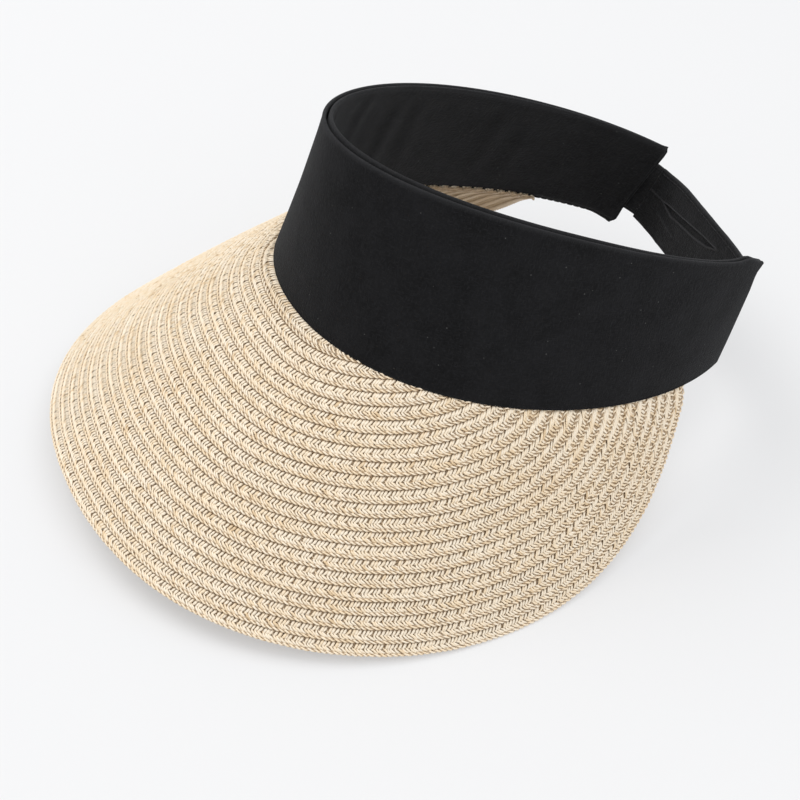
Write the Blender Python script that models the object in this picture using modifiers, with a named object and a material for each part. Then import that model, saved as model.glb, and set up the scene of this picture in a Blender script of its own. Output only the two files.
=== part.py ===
"""Sun visor: an open-crown hat with a braided paper-straw brim, a black fabric
headband and a hook-and-loop closure strap at the back.

Frame: +X the wearer's left, -Y the front, +Z up, metres.  z = 0 is the table the
visor rests on, and x = y = 0 is the middle of its length and width.

The shape is written in the headband's own frame (its lower edge flat), and
place() leans it back onto the table.
"""
import bpy
import bmesh
import numpy as np
from math import radians, sin, cos, pi

for _o in list(bpy.data.objects):
    bpy.data.objects.remove(_o, do_unlink=True)

# ------------------------------------------------------------------ dimensions
LEAN = radians(14.62)              # headband plane leans back when the brim is on the table
REST_HEIGHT = 0.053429             # head opening's lower edge above the table

CENTRE_SHIFT = 0.047564          # head opening behind the middle of the visor's length

# headband, lower edge (outer face) and upper edge (outer face)
LOWER_HALF_WIDTH, LOWER_HALF_LENGTH = 0.07433, 0.10342
UPPER_HALF_WIDTH, UPPER_HALF_LENGTH = 0.05565, 0.10864
UPPER_SHIFT_BACK = 0.00802
LOWER_EGG, LOWER_SQUARE = -0.0184, -0.0024    # 3rd and 4th harmonics of the outline
UPPER_EGG, UPPER_SQUARE = 0.0192, -0.0057
BAND_HEIGHT_MEAN, BAND_HEIGHT_FRONT, BAND_HEIGHT_SIDE = 0.05336, 0.01889, -0.00224
LOWER_SADDLE = 0.0004
BAND_THICKNESS = 0.0027
CLOTH = 0.00045                  # one layer of band cloth
HEM = 0.0070                     # turned-in hem at the band's rim
NEAR_END_LOWER, NEAR_END_UPPER = radians(134.0), radians(131.2)
FAR_END_LOWER, FAR_END_UPPER = radians(-138.9), radians(-135.6)

# brim: outer edge as plan radius and height, at fractions of the sweep to the horn
HORN_ANGLE = radians(117.0)
EDGE_STATIONS = (0.0, 0.27, 0.54, 0.80, 1.0)
EDGE_RADIUS = (0.17404, 0.16875, 0.14444, 0.10628)
EDGE_DROP = (-0.08367, -0.08402, -0.07483, -0.04720)
HORN_INSET = 0.0002
BRIM_DOME_FRONT, BRIM_DOME_SIDE = 0.0137, -0.0006
COURSE_PITCH = 0.00501           # spacing of the braid courses
COURSE_OVERLAP = 0.0009          # each course laps the next one out
COURSE_THICKNESS = 0.0008
COURSE_TILT = 0.00066            # half the rise across one lapped course
SEAM_GAP = 0.0007                # brim edge to the band's lower edge
COURSES = 22

# closure strap
STRAP_LOW, STRAP_HIGH = 0.0010, 0.0330    # sewn-in root and the span's even part
TIP_LOW, TIP_HIGH = 0.0042, 0.0298        # the narrower tip with the hook tape
STRAP_BULGE = 0.0068
STRAP_PLY = 0.0005
STRAP_CORE = 0.0006
STRAP_GAP = 0.00025
TIP_LENGTH_T = 0.105             # share of the band's sweep that the tip overlaps
ROOT_LENGTH_T = 0.055
HOOK_THICKNESS, LOOP_THICKNESS = 0.0010, 0.0012
THREAD_RADIUS = 0.00022

N_BAND = 44                      # facets round the band
N_BRIM = 44                      # facets round the brim

# ------------------------------------------------------------------ collections
COLL = bpy.data.collections.new("sun_visor")
bpy.context.scene.collection.children.link(COLL)


def place(p):
    """Headband frame to the row frame: lean back about X, lift onto the table."""
    p = np.asarray(p, float)
    c, s = cos(LEAN), sin(LEAN)
    return np.stack([p[..., 0], p[..., 1] * c + p[..., 2] * s + CENTRE_SHIFT,
                     -p[..., 1] * s + p[..., 2] * c + REST_HEIGHT], -1)


# ------------------------------------------------------------------ headband surface
def lower(th):
    g = 1 + LOWER_EGG * np.cos(3 * th) + LOWER_SQUARE * np.cos(4 * th)
    return np.stack([LOWER_HALF_WIDTH * g * np.sin(th), -LOWER_HALF_LENGTH * g * np.cos(th),
                     LOWER_SADDLE * np.cos(2 * th)], -1)


def band_height(th):
    return BAND_HEIGHT_MEAN + BAND_HEIGHT_FRONT * np.cos(th) + BAND_HEIGHT_SIDE * np.cos(2 * th)


def upper(th):
    g = 1 + UPPER_EGG * np.cos(3 * th) + UPPER_SQUARE * np.cos(4 * th)
    return np.stack([UPPER_HALF_WIDTH * g * np.sin(th),
                     -UPPER_HALF_LENGTH * g * np.cos(th) + UPPER_SHIFT_BACK,
                     band_height(th) + LOWER_SADDLE * np.cos(2 * th)], -1)


def band_raw(t, v):
    """Outer face: t = 0 far end .. 1 near end, v = 0 lower edge .. 1 rim."""
    tb = FAR_END_LOWER + t * (NEAR_END_LOWER - FAR_END_LOWER)
    tt = FAR_END_UPPER + t * (NEAR_END_UPPER - FAR_END_UPPER)
    return lower(tb) * (1 - v)[..., None] + upper(tt) * v[..., None]


def band(t, v, d=0.0):
    """Point on the band at depth d outward of its outer face (inward is negative)."""
    t, v, d = np.broadcast_arrays(np.asarray(t, float), np.asarray(v, float), np.asarray(d, float))
    e = 1e-4
    pt = band_raw(t + e, v) - band_raw(t - e, v)
    pv = band_raw(t, v + e) - band_raw(t, v - e)
    n = np.cross(pt, pv)
    n /= np.linalg.norm(n, axis=-1)[..., None]
    return band_raw(t, v) + n * d[..., None]


def wall_height(t):
    t = np.asarray(t, float)
    one = np.ones_like(t)
    return np.linalg.norm(band_raw(t, one) - band_raw(t, 0 * one), axis=-1)


# ------------------------------------------------------------------ brim surface
def even_spline(a, knots, values):
    """Natural cubic through the knots, level at a = 0."""
    k, y = np.array(knots), np.array(values)
    n = len(k)
    h = np.diff(k)
    A = np.zeros((n, n))
    r = np.zeros(n)
    A[0, 0], A[0, 1] = 2 * h[0], h[0]
    r[0] = 6 * (y[1] - y[0]) / h[0]
    for i in range(1, n - 1):
        A[i, i - 1], A[i, i], A[i, i + 1] = h[i - 1], 2 * (h[i - 1] + h[i]), h[i]
        r[i] = 6 * ((y[i + 1] - y[i]) / h[i] - (y[i] - y[i - 1]) / h[i - 1])
    A[-1, -1], A[-1, -2], A[-1, -3] = h[-2], -(h[-2] + h[-1]), h[-1]
    m = np.linalg.solve(A, r)
    i = np.clip(np.searchsorted(k, a, side="right") - 1, 0, n - 2)
    x0, x1 = k[i + 1] - a, a - k[i]
    return ((m[i] * x0 ** 3 + m[i + 1] * x1 ** 3) / (6 * h[i])
            + (y[i] / h[i] - m[i] * h[i] / 6) * x0 + (y[i + 1] / h[i] - m[i + 1] * h[i] / 6) * x1)


def brim_edge(th):
    """Outer edge of the brim in the headband frame."""
    a = np.abs(th)
    horn = lower(np.array([HORN_ANGLE]))[0]
    kn = [s * HORN_ANGLE for s in EDGE_STATIONS]
    R = even_spline(a, kn, list(EDGE_RADIUS) + [np.hypot(horn[0], horn[1]) + HORN_INSET])
    Z = even_spline(a, kn, list(EDGE_DROP) + [horn[2]])
    b = lower(th)
    pa = np.arctan2(b[:, 0], -b[:, 1])
    return np.stack([R * np.sin(pa), -R * np.cos(pa), Z], -1)


TH = np.linspace(-HORN_ANGLE, HORN_ANGLE, 241)
INNER, OUTER = lower(TH), brim_edge(TH)


def brim_grid(u):
    """Brim surface and its upward normal on the fine angle grid TH, u = 0 seam .. 1 edge."""
    dv = OUTER - INNER
    w = np.linalg.norm(dv, axis=1)
    n = np.cross(np.gradient(INNER, axis=0), dv)
    n /= np.linalg.norm(n, axis=1)[:, None] + 1e-12
    n *= np.where(n[:, 2:3] < 0, -1, 1)
    x = np.abs(TH) / HORN_ANGLE
    dome = (BRIM_DOME_FRONT * (1 - x ** 2) + BRIM_DOME_SIDE * x ** 2) * w
    P = INNER[:, None] + dv[:, None] * u[None, :, None] \
        + n[:, None] * (dome[:, None] * (4 * u * (1 - u))[None])[:, :, None]
    return P


def edge_distance(P):
    """Distance of points to the brim's outer edge."""
    a, b = OUTER[:-1], OUTER[1:]
    ab = b - a
    L = (ab ** 2).sum(1) + 1e-15
    Q = P.reshape(-1, 3)
    t = np.clip(((Q[:, None] - a[None]) * ab[None]).sum(2) / L[None], 0, 1)
    d = Q[:, None] - (a[None] + t[:, :, None] * ab[None])
    return np.sqrt((d ** 2).sum(2).min(1)).reshape(P.shape[:-1])


U = np.linspace(0, 1, 17)
GRID = brim_grid(U)
DIST = edge_distance(GRID)
_gu = np.gradient(GRID, axis=1)
_gt = np.gradient(GRID, axis=0)
NORM = np.cross(_gt, _gu)
NORM /= np.linalg.norm(NORM, axis=2)[:, :, None] + 1e-12
NORM *= np.where(NORM[:, :, 2:3] < 0, -1, 1)
# the horns taper to nothing, so their normals follow the neighbours'
for _i in (0, 1, 2):
    NORM[_i] = NORM[3]
    NORM[-1 - _i] = NORM[-4]
for _j in range(3):
    NORM[:, -1 - _j] = NORM[:, -4]
WIDTH = np.maximum.accumulate(DIST[:121, 0])[:121]       # seam-to-edge distance, horn to front
WIDTH = np.concatenate([WIDTH, WIDTH[:-1][::-1]])


def on_brim(th, s, lift):
    """Point at distance s from the outer edge on the ruling at angle th."""
    f = (th + HORN_ANGLE) / (2 * HORN_ANGLE) * (len(TH) - 1)
    i = int(min(max(np.floor(f), 0), len(TH) - 2))
    f -= i
    out = []
    for k in (i, i + 1):
        u = np.interp(-s, -DIST[k], U)
        w = np.linalg.norm(OUTER[k] - INNER[k]) + 1e-9
        u = max(u, min(SEAM_GAP / w, 1.0))
        p = np.array([np.interp(u, U, GRID[k, :, c]) for c in range(3)])
        n = np.array([np.interp(u, U, NORM[k, :, c]) for c in range(3)])
        n /= np.linalg.norm(n)
        out.append(p + n * lift)
    return out[0] * (1 - f) + out[1] * f


def reach(s):
    """Angle at which a course edge, distance s from the outer edge, meets the band seam."""
    half = WIDTH[120:]
    if s >= half[0]:
        return 0.0
    return float(np.interp(-s, -half, TH[120:]))


# ------------------------------------------------------------------ building helpers
def material(name, rgb, rough):
    m = bpy.data.materials.new(name)
    m.use_nodes = True
    b = m.node_tree.nodes["Principled BSDF"]
    b.inputs["Base Color"].default_value = (*rgb, 1)
    b.inputs["Roughness"].default_value = rough
    m.diffuse_color = (*rgb, 1)
    return m


def add_object(name, mesh, rgb, rough=0.85):
    ob = bpy.data.objects.new(name, mesh)
    COLL.objects.link(ob)
    mesh.materials.append(material(name, rgb, rough))
    return ob


def sheet(name, rows, thickness, rgb, fans=None):
    """A grid of surface points thickened evenly about its middle by Solidify."""
    rows = np.asarray(rows, float)
    n, m = rows.shape[:2]
    P = place(rows)
    verts = [tuple(p) for p in P.reshape(-1, 3)]
    faces = [(i * m + j, i * m + j + 1, (i + 1) * m + j + 1, (i + 1) * m + j)
             for i in range(n - 1) for j in range(m - 1)]
    if fans:
        for hub, tip_pts in fans:
            prev = hub[1]
            for q in tip_pts:
                verts.append(tuple(place(q)))
                k = len(verts) - 1
                faces.append((hub[0], prev, k))
                prev = k
    me = bpy.data.meshes.new(name)
    me.from_pydata(verts, [], faces)
    bm = bmesh.new()
    bm.from_mesh(me)
    bmesh.ops.recalc_face_normals(bm, faces=bm.faces)
    bm.to_mesh(me)
    bm.free()
    ob = add_object(name, me, rgb)
    mod = ob.modifiers.new("thickness", "SOLIDIFY")
    mod.thickness = thickness
    mod.offset = 0.0
    mod.use_even_offset = True
    mod.use_quality_normals = True
    return ob


def thread(name, pts, rgb, radius=THREAD_RADIUS, cyclic=False):
    """Sewing thread: a poly curve with a round bevel."""
    cu = bpy.data.curves.new(name, "CURVE")
    cu.dimensions = "3D"
    sp = cu.splines.new("POLY")
    P = place(np.asarray(pts, float))
    sp.points.add(len(P) - 1)
    for q, p in zip(sp.points, P):
        q.co = (*p, 1)
    sp.use_cyclic_u = cyclic
    cu.bevel_depth = radius
    cu.bevel_resolution = 0
    cu.use_fill_caps = not cyclic
    ob = bpy.data.objects.new(name, cu)
    COLL.objects.link(ob)
    cu.materials.append(material(name, rgb, 0.6))
    mod = ob.modifiers.new("weld", "WELD")
    mod.merge_threshold = 0.00002
    return ob


STRAW = (0.80, 0.67, 0.46)
BLACK = (0.012, 0.012, 0.014)
CORE = (0.55, 0.55, 0.53)

# ------------------------------------------------------------------ brim courses
angles = np.linspace(-HORN_ANGLE, HORN_ANGLE, N_BRIM + 1)


def course_ends(k):
    """Edge distances of a course and the angles where its two edges meet the seam."""
    s_out = max(k * COURSE_PITCH - COURSE_OVERLAP / 2, 0.0)
    s_in = (k + 1) * COURSE_PITCH + COURSE_OVERLAP / 2
    a_in = reach(s_in) - 0.010
    a_out = reach(s_out) - 0.010 if k else HORN_ANGLE * 0.975
    if a_in < radians(6.0):
        # the last course is cut by the seam along its whole inner edge
        a_in = a_out * 0.90
    return s_out, s_in, a_out, a_in


for k in range(COURSES):
    s_out, s_in, a_out, a_in = course_ends(k)
    # every course is sampled where its neighbours end, so lapped edges bend at the same places
    ends = [e for j in (k - 1, k + 1) if 0 <= j < COURSES for e in course_ends(j)[2:]]
    half = sorted([a for a in angles if a > -1e-9] + ends)
    keep = []
    for a in half:
        if not keep or a - keep[-1] > radians(0.45):
            keep.append(a)
    pos = [a for a in keep if a < a_in - radians(0.4)]
    th_row = [-a_in] + [-a for a in pos[::-1] if a > 0.001] + pos + [a_in]
    rows = [[on_brim(a, s_in, -COURSE_TILT), on_brim(a, s_out, COURSE_TILT)] for a in th_row]
    n = len(rows)
    fans = []
    for sgn, hub, nxt in ((-1, 0, 1), (1, 2 * (n - 1), 2 * (n - 1) + 1)):
        stops = [a for a in keep if a_in + radians(0.4) < a < a_out - radians(0.4)] + [a_out]
        fans.append(((hub, nxt), [on_brim(sgn * a, s_out, COURSE_TILT) for a in stops]))
    sheet("brim_braid_course_%02d" % (k + 1), rows, COURSE_THICKNESS, STRAW, fans)

# ------------------------------------------------------------------ headband


def wall_sheet(name, profile, thickness, rgb, t0=0.0, t1=1.0, n=N_BAND):
    """Cloth following a cross-section profile of (depth, share of height, offset) points."""
    tt = np.linspace(t0, t1, n + 1)
    hh = wall_height(tt)
    rows = []
    for t, h in zip(tt, hh):
        rows.append([band(t, f + off / h, d) for d, f, off in profile])
    return sheet(name, rows, thickness, rgb)


c2 = CLOTH / 2
wall_sheet("band_outer_cover",
           [(-c2, 0.0, c2), (-c2, 0.35, 0), (-c2, 0.70, 0), (-c2, 1.0, -0.0004),
            (-c2 - 0.00035, 1.0, 0.0), (-c2 - 0.00080, 1.0, -0.0004), (-c2 - 0.00080, 1.0, -HEM)],
           CLOTH * 0.9, BLACK)
inner = -BAND_THICKNESS + c2
wall_sheet("band_lining",
           [(inner, 0.0, c2), (inner, 0.35, 0), (inner, 0.70, 0), (inner, 1.0, -0.0006),
            (inner + 0.00030, 1.0, -0.0002), (inner + 0.00072, 1.0, -0.0006), (inner + 0.00072, 1.0, -HEM)],
           CLOTH * 0.9, BLACK)
wall_sheet("band_interlining",
           [(-BAND_THICKNESS / 2, 0.0, 0.0012), (-BAND_THICKNESS / 2, 0.5, 0.0), (-BAND_THICKNESS / 2, 1.0, -HEM - 0.0015)],
           0.0011, CORE, 0.012, 0.988)

seam = [band(t, 0.0, -0.0019) + np.array([0, 0, -0.00045]) for t in np.linspace(0.02, 0.98, 61)]
thread("brim_seam_thread", seam, BLACK)

# ------------------------------------------------------------------ closure strap
def share(z, t):
    """Share of the wall height at which the strap edge z runs."""
    return z / float(wall_height(np.array([t]))[0])


def strap_edges(s):
    """Lower and upper edge of the span: even to three quarters, then narrowing to the tip."""
    w = max(s - 0.75, 0) / 0.25
    return STRAP_LOW + (TIP_LOW - STRAP_LOW) * w, STRAP_HIGH + (TIP_HIGH - STRAP_HIGH) * w


def on_wall(t, z, d):
    return band(t, share(z, t), d)


# layers of the strap, outward from its own inner face
INNER_PLY = STRAP_PLY / 2
CORE_MID = STRAP_PLY + STRAP_GAP + STRAP_CORE / 2
OUTER_PLY = STRAP_PLY + 2 * STRAP_GAP + STRAP_CORE + STRAP_PLY / 2
STRAP_TOTAL = 2 * STRAP_PLY + 2 * STRAP_GAP + STRAP_CORE

# sewn-in root, against the near end's inner face
ROOT_INNER_FACE = -BAND_THICKNESS - 0.0002 - STRAP_TOTAL
TIP_INNER_FACE = 0.0002 + LOOP_THICKNESS + 0.0003 + HOOK_THICKNESS + 0.00015


def root_sheet(name, depth, thick, rgb, low=0.0, high=0.0):
    tt = np.linspace(1 - ROOT_LENGTH_T, 0.9995, 6)
    rows = [[on_wall(t, z, ROOT_INNER_FACE + depth) for z in np.linspace(STRAP_LOW + low, STRAP_HIGH - high, 3)] for t in tt]
    return sheet(name, rows, thick, rgb)


root_sheet("closure_strap_root_inner_ply", INNER_PLY, STRAP_PLY, BLACK)
root_sheet("closure_strap_root_interlining", CORE_MID, STRAP_CORE, CORE, 0.0015, 0.0015)
root_sheet("closure_strap_root_outer_ply", OUTER_PLY, STRAP_PLY, BLACK)


# span: pulled nearly straight across the back, plane in its middle half
# one end line for the whole height keeps the middle of the span a true plane
def mid_frame():
    zm = (STRAP_LOW + STRAP_HIGH) / 2
    a = on_wall(1.0, zm, ROOT_INNER_FACE)
    b = on_wall(0.0, zm, TIP_INNER_FACE)
    return a, b


MID_A, MID_B = mid_frame()
_d = (MID_B - MID_A) * np.array([1, 1, 0])
SPAN_LENGTH = float(np.linalg.norm(_d))
SPAN_DIR = _d / SPAN_LENGTH
SPAN_OUT = np.array([-SPAN_DIR[1], SPAN_DIR[0], 0.0])
if SPAN_OUT[1] < 0:
    SPAN_OUT = -SPAN_OUT


def span(s, z, depth):
    """Strap span: true wall line at its ends, one plane in its middle half."""
    x = abs(2 * s - 1)
    w = max(x - 0.5, 0) / 0.5
    bul = STRAP_BULGE * (1 - w ** 2)
    mid = MID_A + SPAN_DIR * SPAN_LENGTH * s + SPAN_OUT * (bul + depth)
    mid[2] = z
    if w > 0:
        end = (on_wall(1.0, z, ROOT_INNER_FACE) - on_wall(1.0, (STRAP_LOW + STRAP_HIGH) / 2, ROOT_INNER_FACE)) if s < 0.5 \
            else (on_wall(0.0, z, TIP_INNER_FACE) - on_wall(0.0, (STRAP_LOW + STRAP_HIGH) / 2, TIP_INNER_FACE))
        end[2] = 0
        mid = mid + end * w ** 2
    return mid


SPAN_S = np.array([0.012, 0.06, 0.12, 0.18, 0.25, 0.75, 0.82, 0.88, 0.94, 0.988])


def span_sheet(name, depth, thick, rgb, low=0.0, high=0.0):
    rows = [[span(s, z, depth) for z in np.linspace(strap_edges(s)[0] + low, strap_edges(s)[1] - high, 3)]
            for s in SPAN_S]
    return sheet(name, rows, thick, rgb)


span_sheet("closure_strap_inner_ply", INNER_PLY, STRAP_PLY, BLACK)
span_sheet("closure_strap_interlining", CORE_MID, STRAP_CORE, CORE, 0.0015, 0.0015)
span_sheet("closure_strap_outer_ply", OUTER_PLY, STRAP_PLY, BLACK)


# tip over the far end's outer face, with the hook tape on its inner side
def tip_sheet(name, depth, thick, rgb, t0, t1, low=0.0, high=0.0, n=7):
    tt = np.linspace(t0, t1, n)
    rows = [[on_wall(t, z, depth) for z in np.linspace(TIP_LOW + low, TIP_HIGH - high, 3)] for t in tt]
    return sheet(name, rows, thick, rgb)


T0 = 0.0015
tip_sheet("closure_strap_tip_inner_ply", TIP_INNER_FACE + INNER_PLY, STRAP_PLY, BLACK, T0, TIP_LENGTH_T)
tip_sheet("closure_strap_tip_interlining", TIP_INNER_FACE + CORE_MID, STRAP_CORE, CORE, T0 + 0.002, TIP_LENGTH_T - 0.004, 0.0015, 0.0015)
tip_sheet("closure_strap_tip_outer_ply", TIP_INNER_FACE + OUTER_PLY, STRAP_PLY, BLACK, T0, TIP_LENGTH_T)
tip_sheet("hook_tape", TIP_INNER_FACE - 0.00015 - HOOK_THICKNESS / 2, HOOK_THICKNESS, BLACK, 0.012, TIP_LENGTH_T - 0.006, 0.002, 0.002)
tip_sheet("loop_tape", 0.0002 + LOOP_THICKNESS / 2, LOOP_THICKNESS, BLACK, 0.008, TIP_LENGTH_T + 0.03, 0.001, 0.001, 9)

# ------------------------------------------------------------------ stitching
def rectangle(fn, t0, t1, z0, z1, nt=8, nz=3):
    a = [fn(t, z0) for t in np.linspace(t0, t1, nt)]
    b = [fn(t1, z) for z in np.linspace(z0, z1, nz)[1:]]
    c = [fn(t, z1) for t in np.linspace(t1, t0, nt)[1:]]
    d = [fn(t0, z) for z in np.linspace(z1, z0, nz)[1:-1]]
    return a + b + c + d


thread("strap_anchor_stitch",
       rectangle(lambda t, z: on_wall(t, z, ROOT_INNER_FACE - THREAD_RADIUS - 0.00025),
                 1 - ROOT_LENGTH_T + 0.006, 0.994, STRAP_LOW + 0.002, STRAP_HIGH - 0.002), BLACK, cyclic=True)
thread("hook_tape_stitch",
       rectangle(lambda t, z: on_wall(t, z, TIP_INNER_FACE + STRAP_TOTAL + THREAD_RADIUS + 0.00025),
                 0.016, TIP_LENGTH_T - 0.010, TIP_LOW + 0.0035, TIP_HIGH - 0.0035), BLACK, cyclic=True)
thread("loop_tape_stitch",
       rectangle(lambda t, z: on_wall(t, z, 0.0002 + LOOP_THICKNESS + THREAD_RADIUS + 0.0001),
                 0.0096, TIP_LENGTH_T + 0.0285, TIP_LOW + 0.0015, TIP_HIGH - 0.0015, 12), BLACK, cyclic=True)
thread("strap_edge_stitch",
       [span(s, strap_edges(s)[1] - 0.0016, -THREAD_RADIUS - 0.00025) for s in SPAN_S], BLACK)
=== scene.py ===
"""Sun visor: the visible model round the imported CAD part.

The brim is lapped courses of a flat six-strand braid, each with a two-ply cord along its outer
edge.  The headband is sewn cloth with folded rims, open at the back, where a two-ply strap with
hook and loop tapes closes it.  Metres; Z is up, the brim points to -Y, the strap lies at +Y.
"Near" is the band's +X end and "far" its -X end.  Shapes are worked out in the headband's
own frame, and place() leans them into the scene.
"""
from math import cos, pi, radians, sin

import bpy
import numpy as np
from mathutils import Matrix, Vector


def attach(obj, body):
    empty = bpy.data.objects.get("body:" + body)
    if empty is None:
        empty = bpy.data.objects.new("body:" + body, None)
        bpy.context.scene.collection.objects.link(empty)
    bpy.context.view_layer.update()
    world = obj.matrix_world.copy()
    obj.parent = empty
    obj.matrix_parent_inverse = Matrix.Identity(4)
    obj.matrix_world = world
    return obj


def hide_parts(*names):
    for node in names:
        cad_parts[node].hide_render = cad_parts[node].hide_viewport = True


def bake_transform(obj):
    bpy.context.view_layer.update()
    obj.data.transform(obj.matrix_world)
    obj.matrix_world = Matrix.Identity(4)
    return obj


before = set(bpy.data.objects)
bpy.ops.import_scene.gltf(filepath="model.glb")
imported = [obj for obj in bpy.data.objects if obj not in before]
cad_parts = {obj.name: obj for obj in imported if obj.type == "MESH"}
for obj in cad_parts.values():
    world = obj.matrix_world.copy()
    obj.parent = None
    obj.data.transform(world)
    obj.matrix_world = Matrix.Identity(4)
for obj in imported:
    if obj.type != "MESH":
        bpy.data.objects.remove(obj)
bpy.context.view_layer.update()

MM = 0.001

# ------------------------------------------------------------------ dimensions
LEAN = radians(14.62)
REST_HEIGHT = 0.053429
CENTRE_SHIFT = 0.047564
# band outlines: half width, half length, three-lobed and four-lobed share
LOWER_RING = (0.07433, 0.10342, -0.0184, -0.0024)
UPPER_RING = (0.05565, 0.10864, 0.0192, -0.0057)
UPPER_SHIFT_BACK = 0.00802
BAND_HEIGHT_MEAN, BAND_HEIGHT_FRONT, BAND_HEIGHT_SIDE = 0.05336, 0.01889, -0.00224
SADDLE = 0.0004
BAND_THICKNESS = 0.0027
BAND_MIDDLE = -BAND_THICKNESS / 2
CLOTH = 0.00045
HEM = 0.0070
WALL_LENGTH = 0.4390       # developed length of the band
NEAR_END_LOWER, NEAR_END_UPPER = radians(134.0), radians(131.2)
FAR_END_LOWER, FAR_END_UPPER = radians(-138.9), radians(-135.6)

HORN_ANGLE = radians(117.0)                      # where the brim's two horns meet the band
EDGE_STATIONS = (0.0, 0.27, 0.54, 0.80, 1.0)     # shares of the horn angle
EDGE_RADIUS = (0.17404, 0.16875, 0.14444, 0.10628)
EDGE_DROP = (-0.08367, -0.08402, -0.07483, -0.04720)
HORN_INSET = 0.0002
BRIM_DOME_FRONT, BRIM_DOME_SIDE = 0.0137, -0.0006
SEAM_GAP = 0.0007
COURSE_PITCH = 0.00501
COURSE_OVERLAP = 0.0009
COURSE_TILT = 0.00066
COURSES = 22

STRAP_LOW, STRAP_HIGH = 0.0010, 0.0330
TIP_LOW, TIP_HIGH = 0.0042, 0.0298
STRAP_BULGE = 0.0068
STRAP_PLY = 0.0005
STRAP_CORE = 0.0006
STRAP_GAP = 0.00025
TAB_SHRINK = 0.28 * MM
TIP_SHARE, ROOT_SHARE = 0.105, 0.055             # shares of the band's length under the strap
HOOK_THICKNESS, LOOP_THICKNESS = 0.0010, 0.0012
TAPE_CLEARANCE = 0.0002


# ------------------------------------------------------------------ small maths
def stack(*parts):
    """Arrays as the last axis of one array, such as x, y, z into points."""
    return np.stack(parts, -1)


def unit(vectors):
    return vectors / (np.linalg.norm(vectors, axis=-1)[..., None] + 1e-15)


def share(x):
    return np.clip(x, 0, 1)


def smoothstep(x):
    x = share(x)
    return x * x * (3 - 2 * x)


def gauss(x):
    return np.exp(-x ** 2)


def arc_length(points):
    steps = np.linalg.norm(np.diff(points, axis=0), axis=1)
    return np.concatenate([[0], np.cumsum(steps)])


def interp_points(at, keys, points):
    return stack(*(np.interp(at, keys, points[:, axis]) for axis in range(3)))


def smooth_noise(x, seed, scale):
    """1-D value noise in -1..1 with features of the given size."""
    values = np.random.default_rng(seed).uniform(-1, 1, 4096)
    cell = np.asarray(x, float) / scale + 1000.0
    i = np.floor(cell).astype(int)
    blend = smoothstep(cell - i)
    return values[i % 4096] * (1 - blend) + values[(i + 1) % 4096] * blend


def smooth_noise2(x, y, seed, x_scale, y_scale):
    """2-D value noise in -1..1."""
    values = np.random.default_rng(seed).uniform(-1, 1, (256, 256))
    x_cell = np.asarray(x, float) / x_scale + 500.0
    y_cell = np.asarray(y, float) / y_scale + 500.0
    i, j = np.floor(x_cell).astype(int), np.floor(y_cell).astype(int)
    x_mix, y_mix = smoothstep(x_cell - i), smoothstep(y_cell - j)
    i0, i1, j0, j1 = i % 256, (i + 1) % 256, j % 256, (j + 1) % 256
    return ((values[i0, j0] * (1 - x_mix) + values[i1, j0] * x_mix) * (1 - y_mix)
            + (values[i0, j1] * (1 - x_mix) + values[i1, j1] * x_mix) * y_mix)


def place_dir(vectors):
    """Directions from the headband frame to the scene."""
    x, y, z = np.moveaxis(np.asarray(vectors, float), -1, 0)
    return stack(x, y * cos(LEAN) + z * sin(LEAN), -y * sin(LEAN) + z * cos(LEAN))


def place(points):
    """Points from the headband frame to the scene."""
    return place_dir(points) + np.array([0, CENTRE_SHIFT, REST_HEIGHT])


# ------------------------------------------------------------------ headband surface
def ring(angle, half_width, half_length, three_lobed, four_lobed):
    """x and y of a band outline; angle 0 is the front, positive towards +X."""
    grow = 1 + three_lobed * np.cos(3 * angle) + four_lobed * np.cos(4 * angle)
    return half_width * grow * np.sin(angle), -half_length * grow * np.cos(angle)


def lower(angle):
    return stack(*ring(angle, *LOWER_RING), SADDLE * np.cos(2 * angle))


def upper(angle):
    x, y = ring(angle, *UPPER_RING)
    height = (BAND_HEIGHT_MEAN + BAND_HEIGHT_FRONT * np.cos(angle)
              + BAND_HEIGHT_SIDE * np.cos(2 * angle))
    return stack(x, y + UPPER_SHIFT_BACK, height + SADDLE * np.cos(2 * angle))


def band_face(along, rise):
    low = FAR_END_LOWER + along * (NEAR_END_LOWER - FAR_END_LOWER)
    high = FAR_END_UPPER + along * (NEAR_END_UPPER - FAR_END_UPPER)
    return lower(low) * (1 - rise)[..., None] + upper(high) * rise[..., None]


def band_normal(along, rise):
    step = 1e-4
    by_along = band_face(along + step, rise) - band_face(along - step, rise)
    by_rise = band_face(along, rise + step) - band_face(along, rise - step)
    return unit(np.cross(by_along, by_rise))


def band(along, rise, depth=0.0):
    """Band points: share from far to near end, share of the height, offset outward."""
    along, rise, depth = np.broadcast_arrays(
        *(np.asarray(value, float) for value in (along, rise, depth)))
    return band_face(along, rise) + band_normal(along, rise) * depth[..., None]


def wall_height(along):
    return np.linalg.norm(band(along, 1.0) - band(along, 0.0), axis=-1)


def on_wall(along, z, depth):
    """Band points at height z above the lower edge."""
    return band(along, z / wall_height(along), depth)


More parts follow.
